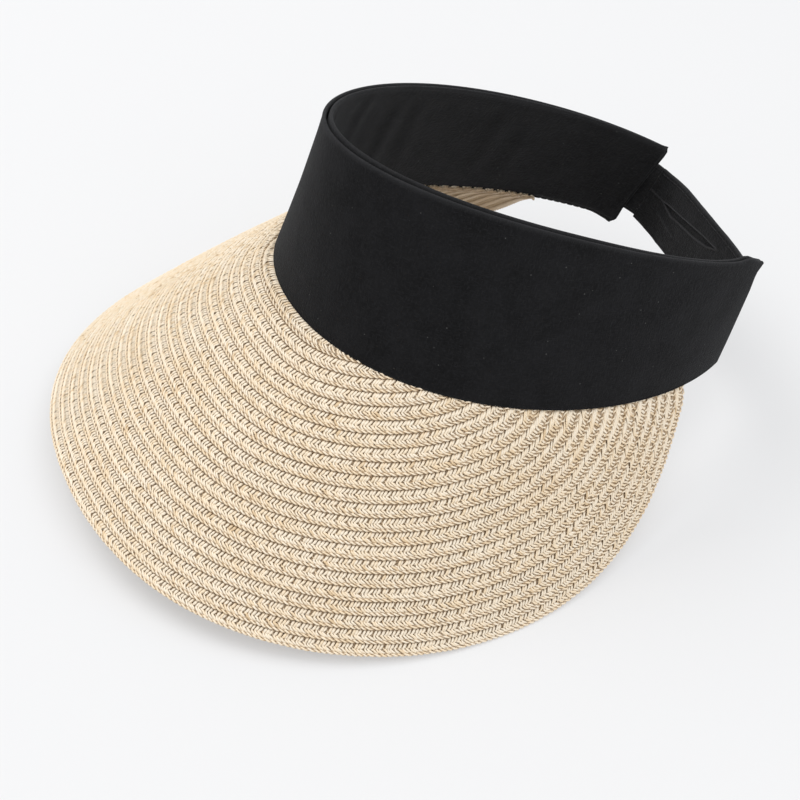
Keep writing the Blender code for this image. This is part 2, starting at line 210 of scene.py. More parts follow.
# ------------------------------------------------------------------ brim surface
def even_spline(at, knots, values):
    """Cubic spline, level at its first knot and not-a-knot at its last."""
    knots, values = np.array(knots), np.array(values)
    count = len(knots)
    gap = np.diff(knots)
    system = np.zeros((count, count))
    right = np.zeros(count)
    system[0, :2] = 2 * gap[0], gap[0]
    right[0] = 6 * (values[1] - values[0]) / gap[0]
    for i in range(1, count - 1):
        system[i, i - 1:i + 2] = gap[i - 1], 2 * (gap[i - 1] + gap[i]), gap[i]
        right[i] = 6 * ((values[i + 1] - values[i]) / gap[i]
                        - (values[i] - values[i - 1]) / gap[i - 1])
    system[-1, -3:] = gap[-1], -(gap[-2] + gap[-1]), gap[-2]
    curve = np.linalg.solve(system, right)
    i = np.clip(np.searchsorted(knots, at, side="right") - 1, 0, count - 2)
    after, before = knots[i + 1] - at, at - knots[i]
    return ((curve[i] * after ** 3 + curve[i + 1] * before ** 3) / (6 * gap[i])
            + (values[i] / gap[i] - curve[i] * gap[i] / 6) * after
            + (values[i + 1] / gap[i] - curve[i + 1] * gap[i] / 6) * before)


def brim_edge(angle):
    """Outer edge of the brim, even about the front."""
    horn = lower(HORN_ANGLE)
    knots = [station * HORN_ANGLE for station in EDGE_STATIONS]
    horn_radius = np.hypot(horn[0], horn[1]) + HORN_INSET
    radius = even_spline(np.abs(angle), knots, [*EDGE_RADIUS, horn_radius])
    z = even_spline(np.abs(angle), knots, [*EDGE_DROP, horn[2]])
    base = lower(angle)
    bearing = np.arctan2(base[:, 0], -base[:, 1])
    return stack(radius * np.sin(bearing), -radius * np.cos(bearing), z)


def upward(normals):
    return normals * np.where(normals[..., 2:3] < 0, -1, 1)


RULINGS = np.linspace(-HORN_ANGLE, HORN_ANGLE, 241)
INNER, OUTER = lower(RULINGS), brim_edge(RULINGS)
ACROSS = np.linspace(0, 1, 17)          # shares of a ruling, from inner to outer edge
INSET_STEP = 0.0005
INSETS = np.arange(0, 0.1165, INSET_STEP)


def brim_grid():
    """Domed brim points (ruling, share across)."""
    ruling = OUTER - INNER
    width = np.linalg.norm(ruling, axis=1)
    normal = upward(unit(np.cross(np.gradient(INNER, axis=0), ruling)))
    turn = np.abs(RULINGS) / HORN_ANGLE
    dome = (BRIM_DOME_FRONT * (1 - turn ** 2) + BRIM_DOME_SIDE * turn ** 2) * width
    return (INNER[:, None] + ruling[:, None] * ACROSS[None, :, None]
            + normal[:, None] * (dome[:, None] * (4 * ACROSS * (1 - ACROSS)))[:, :, None])


def edge_distance(points):
    """Distance of each point from the brim's outer edge."""
    start, along = OUTER[:-1], np.diff(OUTER, axis=0)
    square = (along ** 2).sum(1) + 1e-15
    flat = points.reshape(-1, 3)
    part = share(((flat[:, None] - start[None]) * along[None]).sum(2) / square[None])
    away = flat[:, None] - (start[None] + part[:, :, None] * along[None])
    return np.sqrt((away ** 2).sum(2).min(1)).reshape(points.shape[:-1])


def brim_tables():
    """Points and normals over (ruling, inset from the outer edge), and each ruling's seam inset."""
    grid = brim_grid()
    distance = edge_distance(grid)
    normals = upward(unit(np.cross(np.gradient(grid, axis=0), np.gradient(grid, axis=1))))
    # the horns and the outer edge are too thin for steady normals, so they borrow inner ones
    normals[:3] = normals[3]
    normals[-3:] = normals[-4]
    normals[:, -3:] = normals[:, -4:-3]
    half = np.maximum.accumulate(distance[:121, 0])
    point_table, normal_table = [], []
    for row, away in enumerate(distance):
        inward = INNER[row] - OUTER[row]
        width = np.linalg.norm(inward) + 1e-9
        seam = min(SEAM_GAP / width, 1.0)
        across = np.maximum(np.interp(-INSETS, -away, ACROSS), seam)
        # past the seam the braid runs on a little way under the band
        beyond = np.clip(INSETS - np.interp(seam, ACROSS, away), 0, 0.004)
        point_table.append(interp_points(across, ACROSS, grid[row])
                           + inward / width * beyond[:, None])
        normal_table.append(interp_points(across, ACROSS, normals[row]))
    return (np.array(point_table), unit(np.array(normal_table)),
            np.concatenate([half, half[:-1][::-1]]))


BRIM_POINTS, BRIM_NORMALS, SEAM_INSET = brim_tables()


def table_at(table, angle, inset):
    """Bilinear look-up."""
    row = np.clip((angle + HORN_ANGLE) / (2 * HORN_ANGLE) * (len(RULINGS) - 1),
                  0, len(RULINGS) - 1.001)
    col = np.clip(inset / INSET_STEP, 0, len(INSETS) - 1.001)
    i, j = row.astype(int), col.astype(int)
    row, col = (row - i)[..., None], (col - j)[..., None]
    return (table[i, j] * (1 - row) * (1 - col) + table[i + 1, j] * row * (1 - col)
            + table[i, j + 1] * (1 - row) * col + table[i + 1, j + 1] * row * col)


def on_brim(angle, inset, lift):
    """Points and normals at an inset, raised by lift.  Outside the edge they run on straight."""
    kept = np.maximum(inset, 0)
    points = table_at(BRIM_POINTS, angle, kept)
    normals = unit(table_at(BRIM_NORMALS, angle, kept))
    outward = unit(table_at(BRIM_POINTS, angle, 0 * inset)
                   - table_at(BRIM_POINTS, angle, 0.002 + 0 * inset))
    over = np.minimum(inset, 0)[..., None]
    return points + normals * lift[..., None] - outward * over, normals


# ------------------------------------------------------------------ mesh helpers
def build(name, verts, quads, material, caps=(), **attributes):
    """Object from vertices, quads, lists of equal-sided caps and per-vertex attributes."""
    mesh = bpy.data.meshes.new(name)
    verts = np.ascontiguousarray(verts, np.float32).reshape(-1, 3)
    groups = [np.asarray(group, np.int32) for group in (quads, *caps)]
    loops = np.concatenate([group.ravel() for group in groups])
    sizes = np.concatenate([np.full(len(group), group.shape[1]) for group in groups])
    mesh.vertices.add(len(verts))
    mesh.vertices.foreach_set("co", verts.ravel())
    mesh.loops.add(len(loops))
    mesh.loops.foreach_set("vertex_index", loops)
    mesh.polygons.add(len(sizes))
    mesh.polygons.foreach_set("loop_start", (np.cumsum(sizes) - sizes).astype(np.int32))
    mesh.polygons.foreach_set("use_smooth", np.full(len(sizes), True))
    mesh.update(calc_edges=True)
    obj = bpy.data.objects.new(name, mesh)
    bpy.context.scene.collection.objects.link(obj)
    for label, values in attributes.items():
        values = np.asarray(values, np.float32)
        kind, field = ("FLOAT", "value") if values.ndim == 1 else ("FLOAT_VECTOR", "vector")
        layer = mesh.attributes.new(label, kind, "POINT")
        layer.data.foreach_set(field, values.ravel())
    mesh.materials.append(material)
    return obj


def tubes(centres, normals, half_width, half_thick, sides, valid=None):
    """Flattened tubes along centres (strands, rings, 3): vertices, quads and end caps."""
    count, rings = centres.shape[:2]
    if valid is None:
        valid = np.ones((count, rings), bool)
    ahead = unit(np.gradient(centres, axis=1))
    across = unit(np.cross(ahead, normals))
    above = unit(np.cross(across, ahead))
    turn = np.arange(sides) * 2 * pi / sides
    verts = (centres[:, :, None]
             + across[:, :, None] * np.multiply.outer(half_width, np.cos(turn))[..., None]
             + above[:, :, None] * np.multiply.outer(half_thick, np.sin(turn))[..., None])
    ids = np.arange(count * rings * sides).reshape(count, rings, sides)
    beside = np.roll(ids, -1, 2)
    joined = valid[:, :-1] & valid[:, 1:]
    quads = stack(ids[:, :-1], beside[:, :-1], beside[:, 1:], ids[:, 1:])[joined]
    none = np.zeros((count, 1), bool)
    before = np.concatenate([none, joined], 1)
    after = np.concatenate([joined, none], 1)
    caps = np.concatenate([ids[~before & after], ids[before & ~after][:, ::-1]])
    return verts.reshape(-1, 3), quads.reshape(-1, 4)[:, ::-1], caps[:, ::-1]


# ------------------------------------------------------------------ materials
class Shader:
    """A material and short calls that add nodes to it; each call returns an output."""

    def __init__(self, name):
        self.material = bpy.data.materials.new(name)
        self.material.use_nodes = True
        self.tree = self.material.node_tree

    def node(self, kind, inputs=None, **properties):
        node = self.tree.nodes.new(kind)
        for key, value in properties.items():
            setattr(node, key, value)
        self.fill(node, inputs or {})
        return node

    def fill(self, node, inputs):
        for key, value in inputs.items():
            if isinstance(value, bpy.types.NodeSocket):
                self.tree.links.new(value, node.inputs[key])
            else:
                node.inputs[key].default_value = value

    def attribute(self, name, output):
        return self.node("ShaderNodeAttribute", attribute_name=name).outputs[output]

    def position(self):
        return self.node("ShaderNodeTexCoord").outputs["Object"]

    def math(self, operation, first, second):
        inputs = {0: first, 1: second, 2: 0.0}
        return self.node("ShaderNodeMath", inputs, operation=operation).outputs[0]

    def remap(self, value, low, high, start=0.0, end=1.0):
        """low..high to start..end, clamped."""
        inputs = {"Value": value, "From Min": low, "From Max": high,
                  "To Min": start, "To Max": end}
        return self.node("ShaderNodeMapRange", inputs, clamp=True).outputs[0]

    def mix(self, factor, first, second):
        first, second = ((*colour, 1) if isinstance(colour, tuple) else colour
                         for colour in (first, second))
        return self.node("ShaderNodeMix", {0: factor, 6: first, 7: second}, data_type="RGBA",
                         blend_type="MIX", clamp_factor=True).outputs[2]

    def scaled(self, coords, factors):
        return self.node("ShaderNodeVectorMath", {0: coords, 1: factors},
                         operation="MULTIPLY").outputs[0]

    def noise(self, coords, scale=1.0, detail=2.0, roughness=0.5, stretch=None):
        """Noise; scale and the three stretches are in features per metre."""
        if stretch:
            coords = self.scaled(coords, stretch)
        inputs = {"Vector": coords, "Scale": scale, "Detail": detail, "Roughness": roughness}
        return self.node("ShaderNodeTexNoise", inputs).outputs["Fac"]

    def bump(self, height, strength, distance):
        inputs = {"Height": height, "Strength": strength, "Distance": distance}
        return self.node("ShaderNodeBump", inputs).outputs[0]

    def finish(self, **inputs):
        """Sets the surface; underscores in names stand for spaces."""
        self.fill(self.tree.nodes["Principled BSDF"],
                  {key.replace("_", " "): value for key, value in inputs.items()})
        return self.material


STRAW_PALE = (0.93, 0.83, 0.68)
STRAW_MID = (0.87, 0.71, 0.50)
STRAW_TAN = (0.66, 0.48, 0.28)
# brown of the painted shade in the braid's grooves and under passes
STRAW_PAINTED_SHADE = (0.33, 0.205, 0.10)


def straw_material():
    """Twisted paper yarn: pale cream with tan strands, fibre streaks, a silky face, and painted
    shade in its grooves and under passes.
    """
    mat = Shader("paper_straw")
    tone = mat.attribute("tone", "Fac")
    yarn = mat.attribute("yarn", "Vector")
    patch = mat.noise(mat.position(), scale=38.0, detail=3.0)
    colour = mat.mix(mat.remap(tone, low=0.25, high=0.8), STRAW_PALE, STRAW_MID)
    colour = mat.mix(mat.remap(tone, low=0.80, high=1.0, end=0.75), colour, STRAW_TAN)
    colour = mat.mix(mat.remap(patch, low=0.35, high=0.75, end=0.30), colour, STRAW_MID)
    deep = mat.attribute("deep", "Fac")
    streak = mat.noise(yarn, stretch=(260.0, 3.2, 3.2), detail=3.0, roughness=0.6)
    colour = mat.mix(mat.remap(streak, low=0.42, high=0.72, end=0.30), colour, STRAW_TAN)
    # painted shade: the colour is darkened towards brown where shade falls between and under the
    # strands
    colour = mat.mix(mat.math("MULTIPLY", deep, 0.75), colour, STRAW_PAINTED_SHADE)
    wave = {"Vector": mat.scaled(yarn, (900.0, 0.55, 0.55)), "Scale": 1.0, "Distortion": 2.0}
    twist = mat.node("ShaderNodeTexWave", wave, bands_direction="X", wave_profile="SIN")
    height = mat.math("ADD", streak, mat.math("MULTIPLY", twist.outputs["Fac"], 0.35))
    return mat.finish(
        Base_Color=colour,
        Roughness=mat.remap(streak, low=0.3, high=0.7, start=0.34, end=0.56),
        # the painted shade is also made less specular
        Specular_IOR_Level=mat.remap(deep, low=0.0, high=1.0, start=0.42, end=0.08),
        Normal=mat.bump(height, strength=0.35, distance=0.00008))


WEAR_AND_SHEEN_BLACK = (0.078, 0.078, 0.082)
LINT = (0.10, 0.10, 0.096)


def black_cloth(name, base, sheen, lint=0.80, fine=1.0):
    """Black plain-weave cotton: crossing threads, uneven dye, lint specks, paler edges; the pale
    crest of the folded rims is a painted sheen.
    """
    mat = Shader(name)
    cloth = mat.attribute("cloth", "Vector")
    worn = mat.attribute("worn", "Fac")
    warp = mat.noise(cloth, stretch=(1900.0 * fine, 560.0, 300.0), roughness=0.55)
    weft = mat.noise(cloth, stretch=(560.0, 1900.0 * fine, 300.0), roughness=0.55)
    slub = mat.noise(cloth, stretch=(1500.0, 240.0, 240.0), detail=3.0, roughness=0.65)
    height = mat.math("ADD", mat.math("MAXIMUM", warp, weft), mat.math("MULTIPLY", slub, 0.5))
    dye = mat.noise(cloth, scale=70.0, detail=4.0, roughness=0.6)
    pale = tuple(channel * 3.0 + 0.0055 for channel in base)
    colour = mat.mix(mat.remap(dye, low=0.35, high=0.7, end=0.5), base, pale)
    weave = mat.remap(mat.math("MAXIMUM", warp, weft), low=0.50, high=0.74, end=0.85)
    colour = mat.mix(weave, colour, pale)
    # edges are painted paler here; on the folded rims this is a painted sheen along the crest
    colour = mat.mix(mat.remap(worn, low=0.0, high=1.0, end=0.75), colour, WEAR_AND_SHEEN_BLACK)
    # lint: the middles of a few randomly picked cells
    cells = mat.node("ShaderNodeTexVoronoi",
                     {"Vector": mat.scaled(cloth, (330.0, 330.0, 330.0)), "Scale": 1.0},
                     feature="F1", distance="EUCLIDEAN")
    pick = mat.node("ShaderNodeSeparateColor", {"Color": cells.outputs["Color"]}).outputs[0]
    dots = mat.remap(cells.outputs["Distance"], low=0.045, high=0.10, start=1.0, end=0.0)
    speck = mat.math("MULTIPLY", dots, mat.remap(pick, low=lint, high=lint + 0.04))
    colour = mat.mix(mat.math("MULTIPLY", speck, 0.7), colour, LINT)
    return mat.finish(Base_Color=colour, Roughness=0.85, Specular_IOR_Level=0.17,
                      Sheen_Weight=sheen, Sheen_Roughness=0.45,
                      Sheen_Tint=(0.66, 0.67, 0.70, 1.0),
                      Normal=mat.bump(height, strength=1.0, distance=0.00045))


def felt():
    """Needled fibre stiffener: matted hairs of two shades."""
    mat = Shader("stiffener_felt")
    cloth = mat.attribute("cloth", "Vector")
    hairs = mat.math("MAXIMUM", *(
        mat.noise(cloth, stretch=stretch, detail=4.0, roughness=0.7)
        for stretch in ((1900.0, 350.0, 350.0), (350.0, 1900.0, 350.0))))
    colour = mat.mix(mat.remap(hairs, low=0.45, high=0.75), (0.16, 0.15, 0.14), (0.34, 0.33, 0.31))
    return mat.finish(Base_Color=colour, Roughness=0.95, Specular_IOR_Level=0.1,
                      Sheen_Weight=0.15, Normal=mat.bump(hairs, strength=0.8, distance=0.0002))


def filament():
    """Black nylon of the hook and loop tapes: glossy threads, slightly uneven."""
    mat = Shader("tape_nylon")
    cloth = mat.attribute("cloth", "Vector")
    rib = mat.noise(cloth, stretch=(900.0, 3600.0, 900.0))
    tint = mat.noise(cloth, scale=160.0, detail=3.0, roughness=0.6)
    colour = mat.mix(mat.remap(tint, low=0.35, high=0.7),
                     (0.008, 0.008, 0.009), (0.024, 0.024, 0.027))
    colour = mat.mix(mat.remap(rib, low=0.55, high=0.8, end=0.5), colour, (0.04, 0.04, 0.044))
    return mat.finish(Base_Color=colour,
                      Roughness=mat.remap(rib, low=0.3, high=0.7, start=0.38, end=0.6),
                      Specular_IOR_Level=0.4,
                      Normal=mat.bump(rib, strength=0.5, distance=0.0001))


def sewing_thread():
    """Black spun thread: a fine lay of fibres along each ply, some of them lighter."""
    mat = Shader("sewing_thread")
    cloth = mat.attribute("cloth", "Vector")
    lay = mat.noise(cloth, stretch=(2600.0, 1.6, 1.6), detail=3.0, roughness=0.6)
    colour = mat.mix(mat.remap(lay, low=0.4, high=0.75),
                     (0.010, 0.010, 0.011), (0.050, 0.050, 0.054))
    return mat.finish(Base_Color=colour, Roughness=0.6, Specular_IOR_Level=0.35,
                      Sheen_Weight=0.1, Normal=mat.bump(lay, strength=0.5, distance=0.00005))


MAT_STRAW = straw_material()
MAT_COVER = black_cloth("band_cloth", base=(0.0022, 0.0022, 0.0027), sheen=0.055, lint=0.72)
MAT_LINING = black_cloth("lining_cloth", base=(0.0036, 0.0036, 0.0040), sheen=0.08, fine=1.1)
MAT_STRAP = black_cloth("strap_cloth", base=(0.0050, 0.0050, 0.0055), sheen=0.12, lint=0.72)
MAT_FELT = felt()
MAT_TAPE = filament()
MAT_THREAD = sewing_thread()

# ------------------------------------------------------------------ the braid
STRANDS = 6
STITCH = 1.38 * MM
PERIOD = STRANDS * STITCH
YARN_HALF_WIDTH, YARN_HALF_THICK = 0.40 * MM, 0.28 * MM
# one strand over one period, mm: advance, inset from the outer edge, height; then width share
OVER_PATH = np.array([
    (0.00, 2.72, -0.16, 0.90), (0.12, 3.14, 0.26, 1.15), (0.28, 3.74, 0.50, 1.34),
    (0.42, 4.34, 0.47, 1.38), (0.58, 4.90, 0.16, 1.28), (0.85, 5.30, -0.22, 1.0),
    (2.00, 5.05, -0.42, 0.95), (2.95, 4.05, -0.46, 1.0), (3.55, 3.28, -0.32, 0.95),
    (3.95, 2.86, 0.06, 1.02), (4.45, 2.46, 0.30, 1.15), (5.10, 2.02, 0.36, 1.2),
    (5.80, 1.62, 0.22, 1.1), (6.45, 1.26, -0.08, 1.0), (7.00, 1.10, -0.36, 0.95),
    (7.55, 1.42, -0.46, 0.95), (8.00, 2.10, -0.38, 0.95)])
OVER_PATH[:, :3] *= MM
OVER_PART = np.repeat(range(4), (6, 4, 4, 3))    # stretches of the path that wander as one
# the flat return passes, mm: advance, inset, height; their inner turn lies under the next cord
UNDER_PATH = np.array([
    (0.00, 0.80, -0.66), (1.20, 2.45, -0.60), (2.40, 4.10, -0.50), (3.40, 5.55, 0.06),
    (4.14, 6.60, 0.24), (4.90, 5.55, -0.04), (5.90, 4.10, -0.72), (7.10, 2.45, -0.74)]) * MM
YARN_SIDES, CORD_SIDES = 5, 6
CORD_INSET, CORD_OFFSET, CORD_RADIUS, CORD_LAY = 0.60 * MM, 0.33 * MM, 0.30 * MM, 4.4 * MM


def bunch(x, inset, seed):
    """Strands gather in threes, which opens the row of small holes along the braid."""
    phase = (x / (3 * STITCH) + 0.42 * smooth_noise(x, seed, 13 * MM)
             + 0.10 * smooth_noise(x, seed + 1, 4 * MM))
    part = phase - np.floor(phase)
    saw = (1 - 2 * part) * (1 - gauss(np.minimum(part, 1 - part) / 0.07))
    hole = gauss((inset - 2.70 * MM) / (0.55 * MM))
    inner = 1 / (1 + np.exp(-(inset - 3.2 * MM) / (0.2 * MM)))
    size = 0.85 + 0.40 * smooth_noise(np.floor(phase) * 7.3, seed + 2, 1.0)
    return x + saw * (0.66 * MM * hole * size + 0.20 * MM * inner * size)


def advances(path, length, rng):
    """Places along the course of every strand's path points: (strand, period, point)."""
    strand = np.arange(STRANDS)[:, None, None]
    period = np.arange(int(np.ceil(length / PERIOD)) + 2)[None, :, None]
    return strand * STITCH + (period - 1) * PERIOD + path[:, 0] + rng.uniform(0, PERIOD)


# The next three return: x along the course, inset, lift, half width, half thickness, sides,
# tone and painted shade.  Numbers added to the course index are noise seeds.
def plaited_strands(index, length, rng):
    x = advances(OVER_PATH, length, rng)
    wander = rng.normal(0, 1, (*x.shape[:2], 4))[:, :, OVER_PART]
    x = x + wander * 0.15 * MM
    inset = OVER_PATH[:, 1] + rng.normal(0, 0.045 * MM, x.shape)
    lift = OVER_PATH[:, 2] + rng.normal(0, 0.045 * MM, x.shape) + 0.08 * MM * wander
    width, part = OVER_PATH[:, 3] + 0 * x, OVER_PART + 0 * x
    x, inset, lift, width, part, wander = (
        values.reshape(STRANDS, -1) for values in (x, inset, lift, width, part, wander))
    x = bunch(x, inset, 300 + 10 * index)
    inset = inset + 0.07 * MM * smooth_noise(x, 500 + index, 3.1 * MM)
    half_width = YARN_HALF_WIDTH * width * (1 + 0.07 * rng.normal(0, 1, (STRANDS, 1))
                                            + 0.10 * smooth_noise(x, 700 + index, 2.3 * MM))
    half_thick = YARN_HALF_THICK * (1 + 0.10 * smooth_noise(x, 900 + index, 1.7 * MM))
    # the raised upright passes get a paler tone: a painted highlight where they catch the most
    # light
    tone = share(0.40 + 0.23 * wander + 0.16 * smooth_noise(x, 40 + index, 16 * MM)
                 + 0.08 * rng.normal(0, 1, (STRANDS, 1)) - 0.16 * (part == 0))
    # painted shade: darker in the groove beside the next course's cord and on the low passes that
    # run under the others
    deep = share(share((inset - 4.45 * MM) / (0.45 * MM)) + share(-lift / (0.3 * MM)) * 0.8)
    return x, inset, lift, half_width, half_thick, YARN_SIDES, tone, deep


def edge_cord(index, length):
    """Two-ply cord along the course's outer edge."""
    ply = np.array([[0.0], [1.0]])
    x = np.linspace(0, length, int(length / (CORD_LAY / 10)))[None] + 0 * ply
    uneven = CORD_LAY * (0.10 * smooth_noise(x, 1200 + index, 20 * MM)
                         + 0.10 * smooth_noise(x, 1250 + index, 4 * MM))
    turn = 2 * pi * (x + uneven) / CORD_LAY + pi * ply + 1.1 * index
    waver = 0.07 * MM * smooth_noise(x, 1300 + index, 5 * MM)
    inset = CORD_INSET + waver + CORD_OFFSET * np.cos(turn)
    lift = -0.04 * MM + CORD_OFFSET * np.sin(turn)
    radius = CORD_RADIUS * (1 + 0.12 * smooth_noise(x + 3.0 * ply, 1400 + index, 1.5 * MM)
                            + 0.22 * np.sin(turn))
    tone = share(0.52 + 0.26 * smooth_noise(x + 5.0 * ply, 1500 + index, 2.2 * MM)
                 + 0.16 * smooth_noise(x, 60 + index, 18 * MM))
    # painted shade on the lower side of each ply, where the cord shades itself
    deep = share((0.06 * MM - lift) / (0.26 * MM))
    return x, inset, lift, radius, radius * 0.92, CORD_SIDES, tone, deep


def return_passes(index, length, rng):
    """The strands' flat return passes on the underside, painted dark as shade."""
    x = advances(UNDER_PATH, length, rng)
    inset = UNDER_PATH[:, 1] + rng.normal(0, 0.05 * MM, x.shape)
    lift = UNDER_PATH[:, 2] + rng.normal(0, 0.02 * MM, x.shape)
    x, inset, lift = (values.reshape(STRANDS, -1) for values in (x, inset, lift))
    half_width = 0.50 * MM * (1 + 0.1 * smooth_noise(x, 1700 + index, 2.3 * MM))
    # their tone is held near tan and their painted shade at 0.62, so the holes between the upper
    # strands read as shade
    tone = share(0.80 + 0.2 * smooth_noise(x, 1800 + index, 9 * MM))
    return x, inset, lift, half_width, 0.12 * MM, YARN_SIDES, tone, np.full(x.shape, 0.62)


def yarn_coords(x, sides):
    """Shader coordinates: length along the yarn, shifted per strand, and a unit circle."""
    turn = np.arange(sides) * 2 * pi / sides
    along = (x + np.arange(len(x))[:, None] * 0.7)[:, :, None] + 0 * turn
    return stack(along, 0 * along + np.cos(turn), 0 * along + np.sin(turn)).reshape(-1, 3)


def course(index):
    outer = index * COURSE_PITCH - COURSE_OVERLAP / 2
    inner = (index + 1) * COURSE_PITCH + COURSE_OVERLAP / 2
    if index == 0:
        outer = -0.0001
    if index == COURSES - 1:
        inner += 1.6 * MM
    width = inner - outer
    angles = np.linspace(-HORN_ANGLE, HORN_ANGLE, 1201)
    middle, _ = on_brim(angles, np.full_like(angles, (outer + inner) / 2), 0 * angles)
    arc = arc_length(middle)
    length = arc[-1]

    def on_course(x, inset, lift):
        """Course coordinates to points, normals and whether the braid reaches there."""
        inset = inset * (width / (COURSE_PITCH + COURSE_OVERLAP))
        lift = COURSE_TILT * (1 - 2 * inset / width) + lift
        inset = inset + outer
        angle = np.interp(x, arc, angles)
        seam = np.interp(angle, RULINGS, SEAM_INSET)
        inside = ((x > 0) & (x < length) & (inset < seam + 2.4 * MM)
                  & (outer < seam + 1.2 * MM))
        # the braid dives under the band as it nears the seam
        lift = (lift - 1.25 * MM * smoothstep((inset - seam) / (5.0 * MM) + 1)
                - 1.1 * MM * share((inset - seam) / (2.6 * MM) + 1) ** 2)
        points, normals = on_brim(angle, np.minimum(inset, seam + 3.0 * MM), lift)
        return place(points), place_dir(normals), inside

    rng = np.random.default_rng(100 + index)
    columns = []
    start = 0
    for x, inset, lift, half_width, half_thick, sides, tone, deep in (
            plaited_strands(index, length, rng), edge_cord(index, length),
            return_passes(index, length, rng)):
        centres, normals, inside = on_course(x, inset, lift)
        verts, quads, caps = tubes(centres, normals, half_width, half_thick, sides, inside)
        used = np.unique(np.concatenate([quads.ravel(), caps.ravel()]))
        columns.append((verts[used], start + np.searchsorted(used, quads),
                        start + np.searchsorted(used, caps),
                        np.repeat(tone.ravel(), sides)[used], np.repeat(deep.ravel(), sides)[used],
                        yarn_coords(x, sides)[used]))
        start += len(used)
    verts, quads, caps, tone, deep, yarn = zip(*columns)
    # each course mesh carries the straw's painted shade as a per-vertex value
    obj = build("braid_course_%02d" % (index + 1), np.concatenate(verts), np.concatenate(quads),
                MAT_STRAW, caps, tone=np.concatenate(tone), deep=np.concatenate(deep),
                yarn=np.concatenate(yarn))
    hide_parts("brim_braid_course_%02d" % (index + 1))
    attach(obj, "visor")


for number in range(COURSES):
    course(number)


# ------------------------------------------------------------------ cloth
def cloth_sheet(name, middle, thickness, coords, material, nodes=(), body=None, worn=0.0):
    """Closed cloth from a mid-surface grid in the headband frame, with rounded edges."""
    rows, cols = middle.shape[:2]
    by_row, by_col = np.gradient(middle, axis=0), np.gradient(middle, axis=1)
    normal = unit(np.cross(by_row, by_col))
    radius = thickness / 2
    worn = np.broadcast_to(worn, (rows, cols))
    top = np.arange(rows * cols).reshape(rows, cols)
    bottom = top + rows * cols
    verts = [(middle + side * normal * radius).reshape(-1, 3) for side in (1, -1)]
    cloth = [coords.reshape(-1, 3)] * 2
    wear_and_sheen_values = [worn.ravel()] * 2
    quads = [stack(top[:-1, :-1], top[1:, :-1], top[1:, 1:], top[:-1, 1:]).reshape(-1, 4),
             stack(bottom[:-1, :-1], bottom[:-1, 1:], bottom[1:, 1:], bottom[1:, :-1])
             .reshape(-1, 4)]
    i, j = np.array([(row, 0) for row in range(rows)]
                    + [(rows - 1, col) for col in range(1, cols)]
                    + [(row, cols - 1) for row in range(rows - 2, -1, -1)]
                    + [(0, col) for col in range(cols - 2, 0, -1)]).T
    out = unit(unit(by_row[i, j]) * (1 * (i == rows - 1) - (i == 0))[:, None]
               + unit(by_col[i, j]) * (1 * (j == cols - 1) - (j == 0))[:, None])
    rims = 3
    loops = [top[i, j]]
    for rim in range(1, rims + 1):
        turn = pi * rim / (rims + 1)
        verts.append(middle[i, j] + normal[i, j] * (radius * cos(turn))
                     + out * (radius * sin(turn)))
        cloth.append(coords[i, j])
        # the rounded edges of every cloth are painted at least a little paler
        wear_and_sheen_values.append(np.maximum(worn[i, j], 0.12))
        loops.append(2 * rows * cols + (rim - 1) * len(i) + np.arange(len(i)))
    loops.append(bottom[i, j])
    for before, after in zip(loops, loops[1:]):
        quads.append(stack(before, np.roll(before, -1), np.roll(after, -1), after))
    obj = build(name, place(np.concatenate(verts)), np.concatenate(quads)[:, ::-1], material,
                cloth=np.concatenate(cloth), worn=np.concatenate(wear_and_sheen_values))
    if nodes:
        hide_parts(*nodes)
    if body:
        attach(obj, body)
    return obj


# the cut shape of the two free ends: share of the height, and shift as a share of the length
FAR_RISE = (0, 0.015, 0.04, 0.09, 0.18, 0.478, 0.767, 0.91, 0.97, 1.0)
FAR_SHIFT = (-0.0040, -0.0060, -0.0070, -0.0061, -0.0041, -0.0014, 0.0007, 0.0017, 0.0028, 0.0055)
NEAR_RISE = (0, 0.195, 0.55, 0.70, 0.84, 0.91, 0.955, 0.985, 1.0)
NEAR_SHIFT = (0.0030, 0.0033, 0.0002, -0.0010, -0.0052, -0.0046, 0.0010, 0.0030, 0.0022)
# the near end's ear: share of the length, and lift as a share of the height
EAR_ALONG = (0.925, 0.945, 0.957, 0.965, 0.973, 0.984, 0.994, 1.0)
EAR_LIFT = (0.0, 0.006, 0.016, 0.032, 0.030, 0.004, -0.012, -0.040)

# soft folds of the lining: (along, rise) of the upper and lower end, depth in mm
FOLDS = [((0.3372, 1.0), (0.3290, 0.35), 0.55), ((0.2850, 0.92), (0.2735, 0.16), 0.60),
         ((0.2610, 0.90), (0.2360, 0.10), 0.45), ((0.1655, 0.90), (0.1580, 0.05), 0.42),
         ((0.1375, 0.86), (0.1260, 0.03), 0.38), ((0.405, 0.95), (0.395, 0.3), 0.35),
         ((0.52, 0.9), (0.51, 0.25), 0.30), ((0.63, 0.95), (0.645, 0.2), 0.40),
         ((0.74, 0.9), (0.725, 0.15), 0.35), ((0.84, 0.9), (0.85, 0.2), 0.30)]


def shape_ends(along, rise):
    """Softly worn ends: the far lower corner droops, the near hem stands up as an ear."""
    far = share(1 - along / 0.035) ** 2
    near = share((along - 0.972) / 0.028) ** 2
    level = share(rise)
    shift = (np.interp(level, FAR_RISE, FAR_SHIFT) * far
             + np.interp(level, NEAR_RISE, NEAR_SHIFT) * near)
    droop = -0.060 * gauss((along + 0.003) / 0.017) * (1 - level) ** 1.5
    ear = np.interp(along, EAR_ALONG, EAR_LIFT) * smoothstep((level - 0.72) / 0.28)
    return along + shift, rise + droop + ear


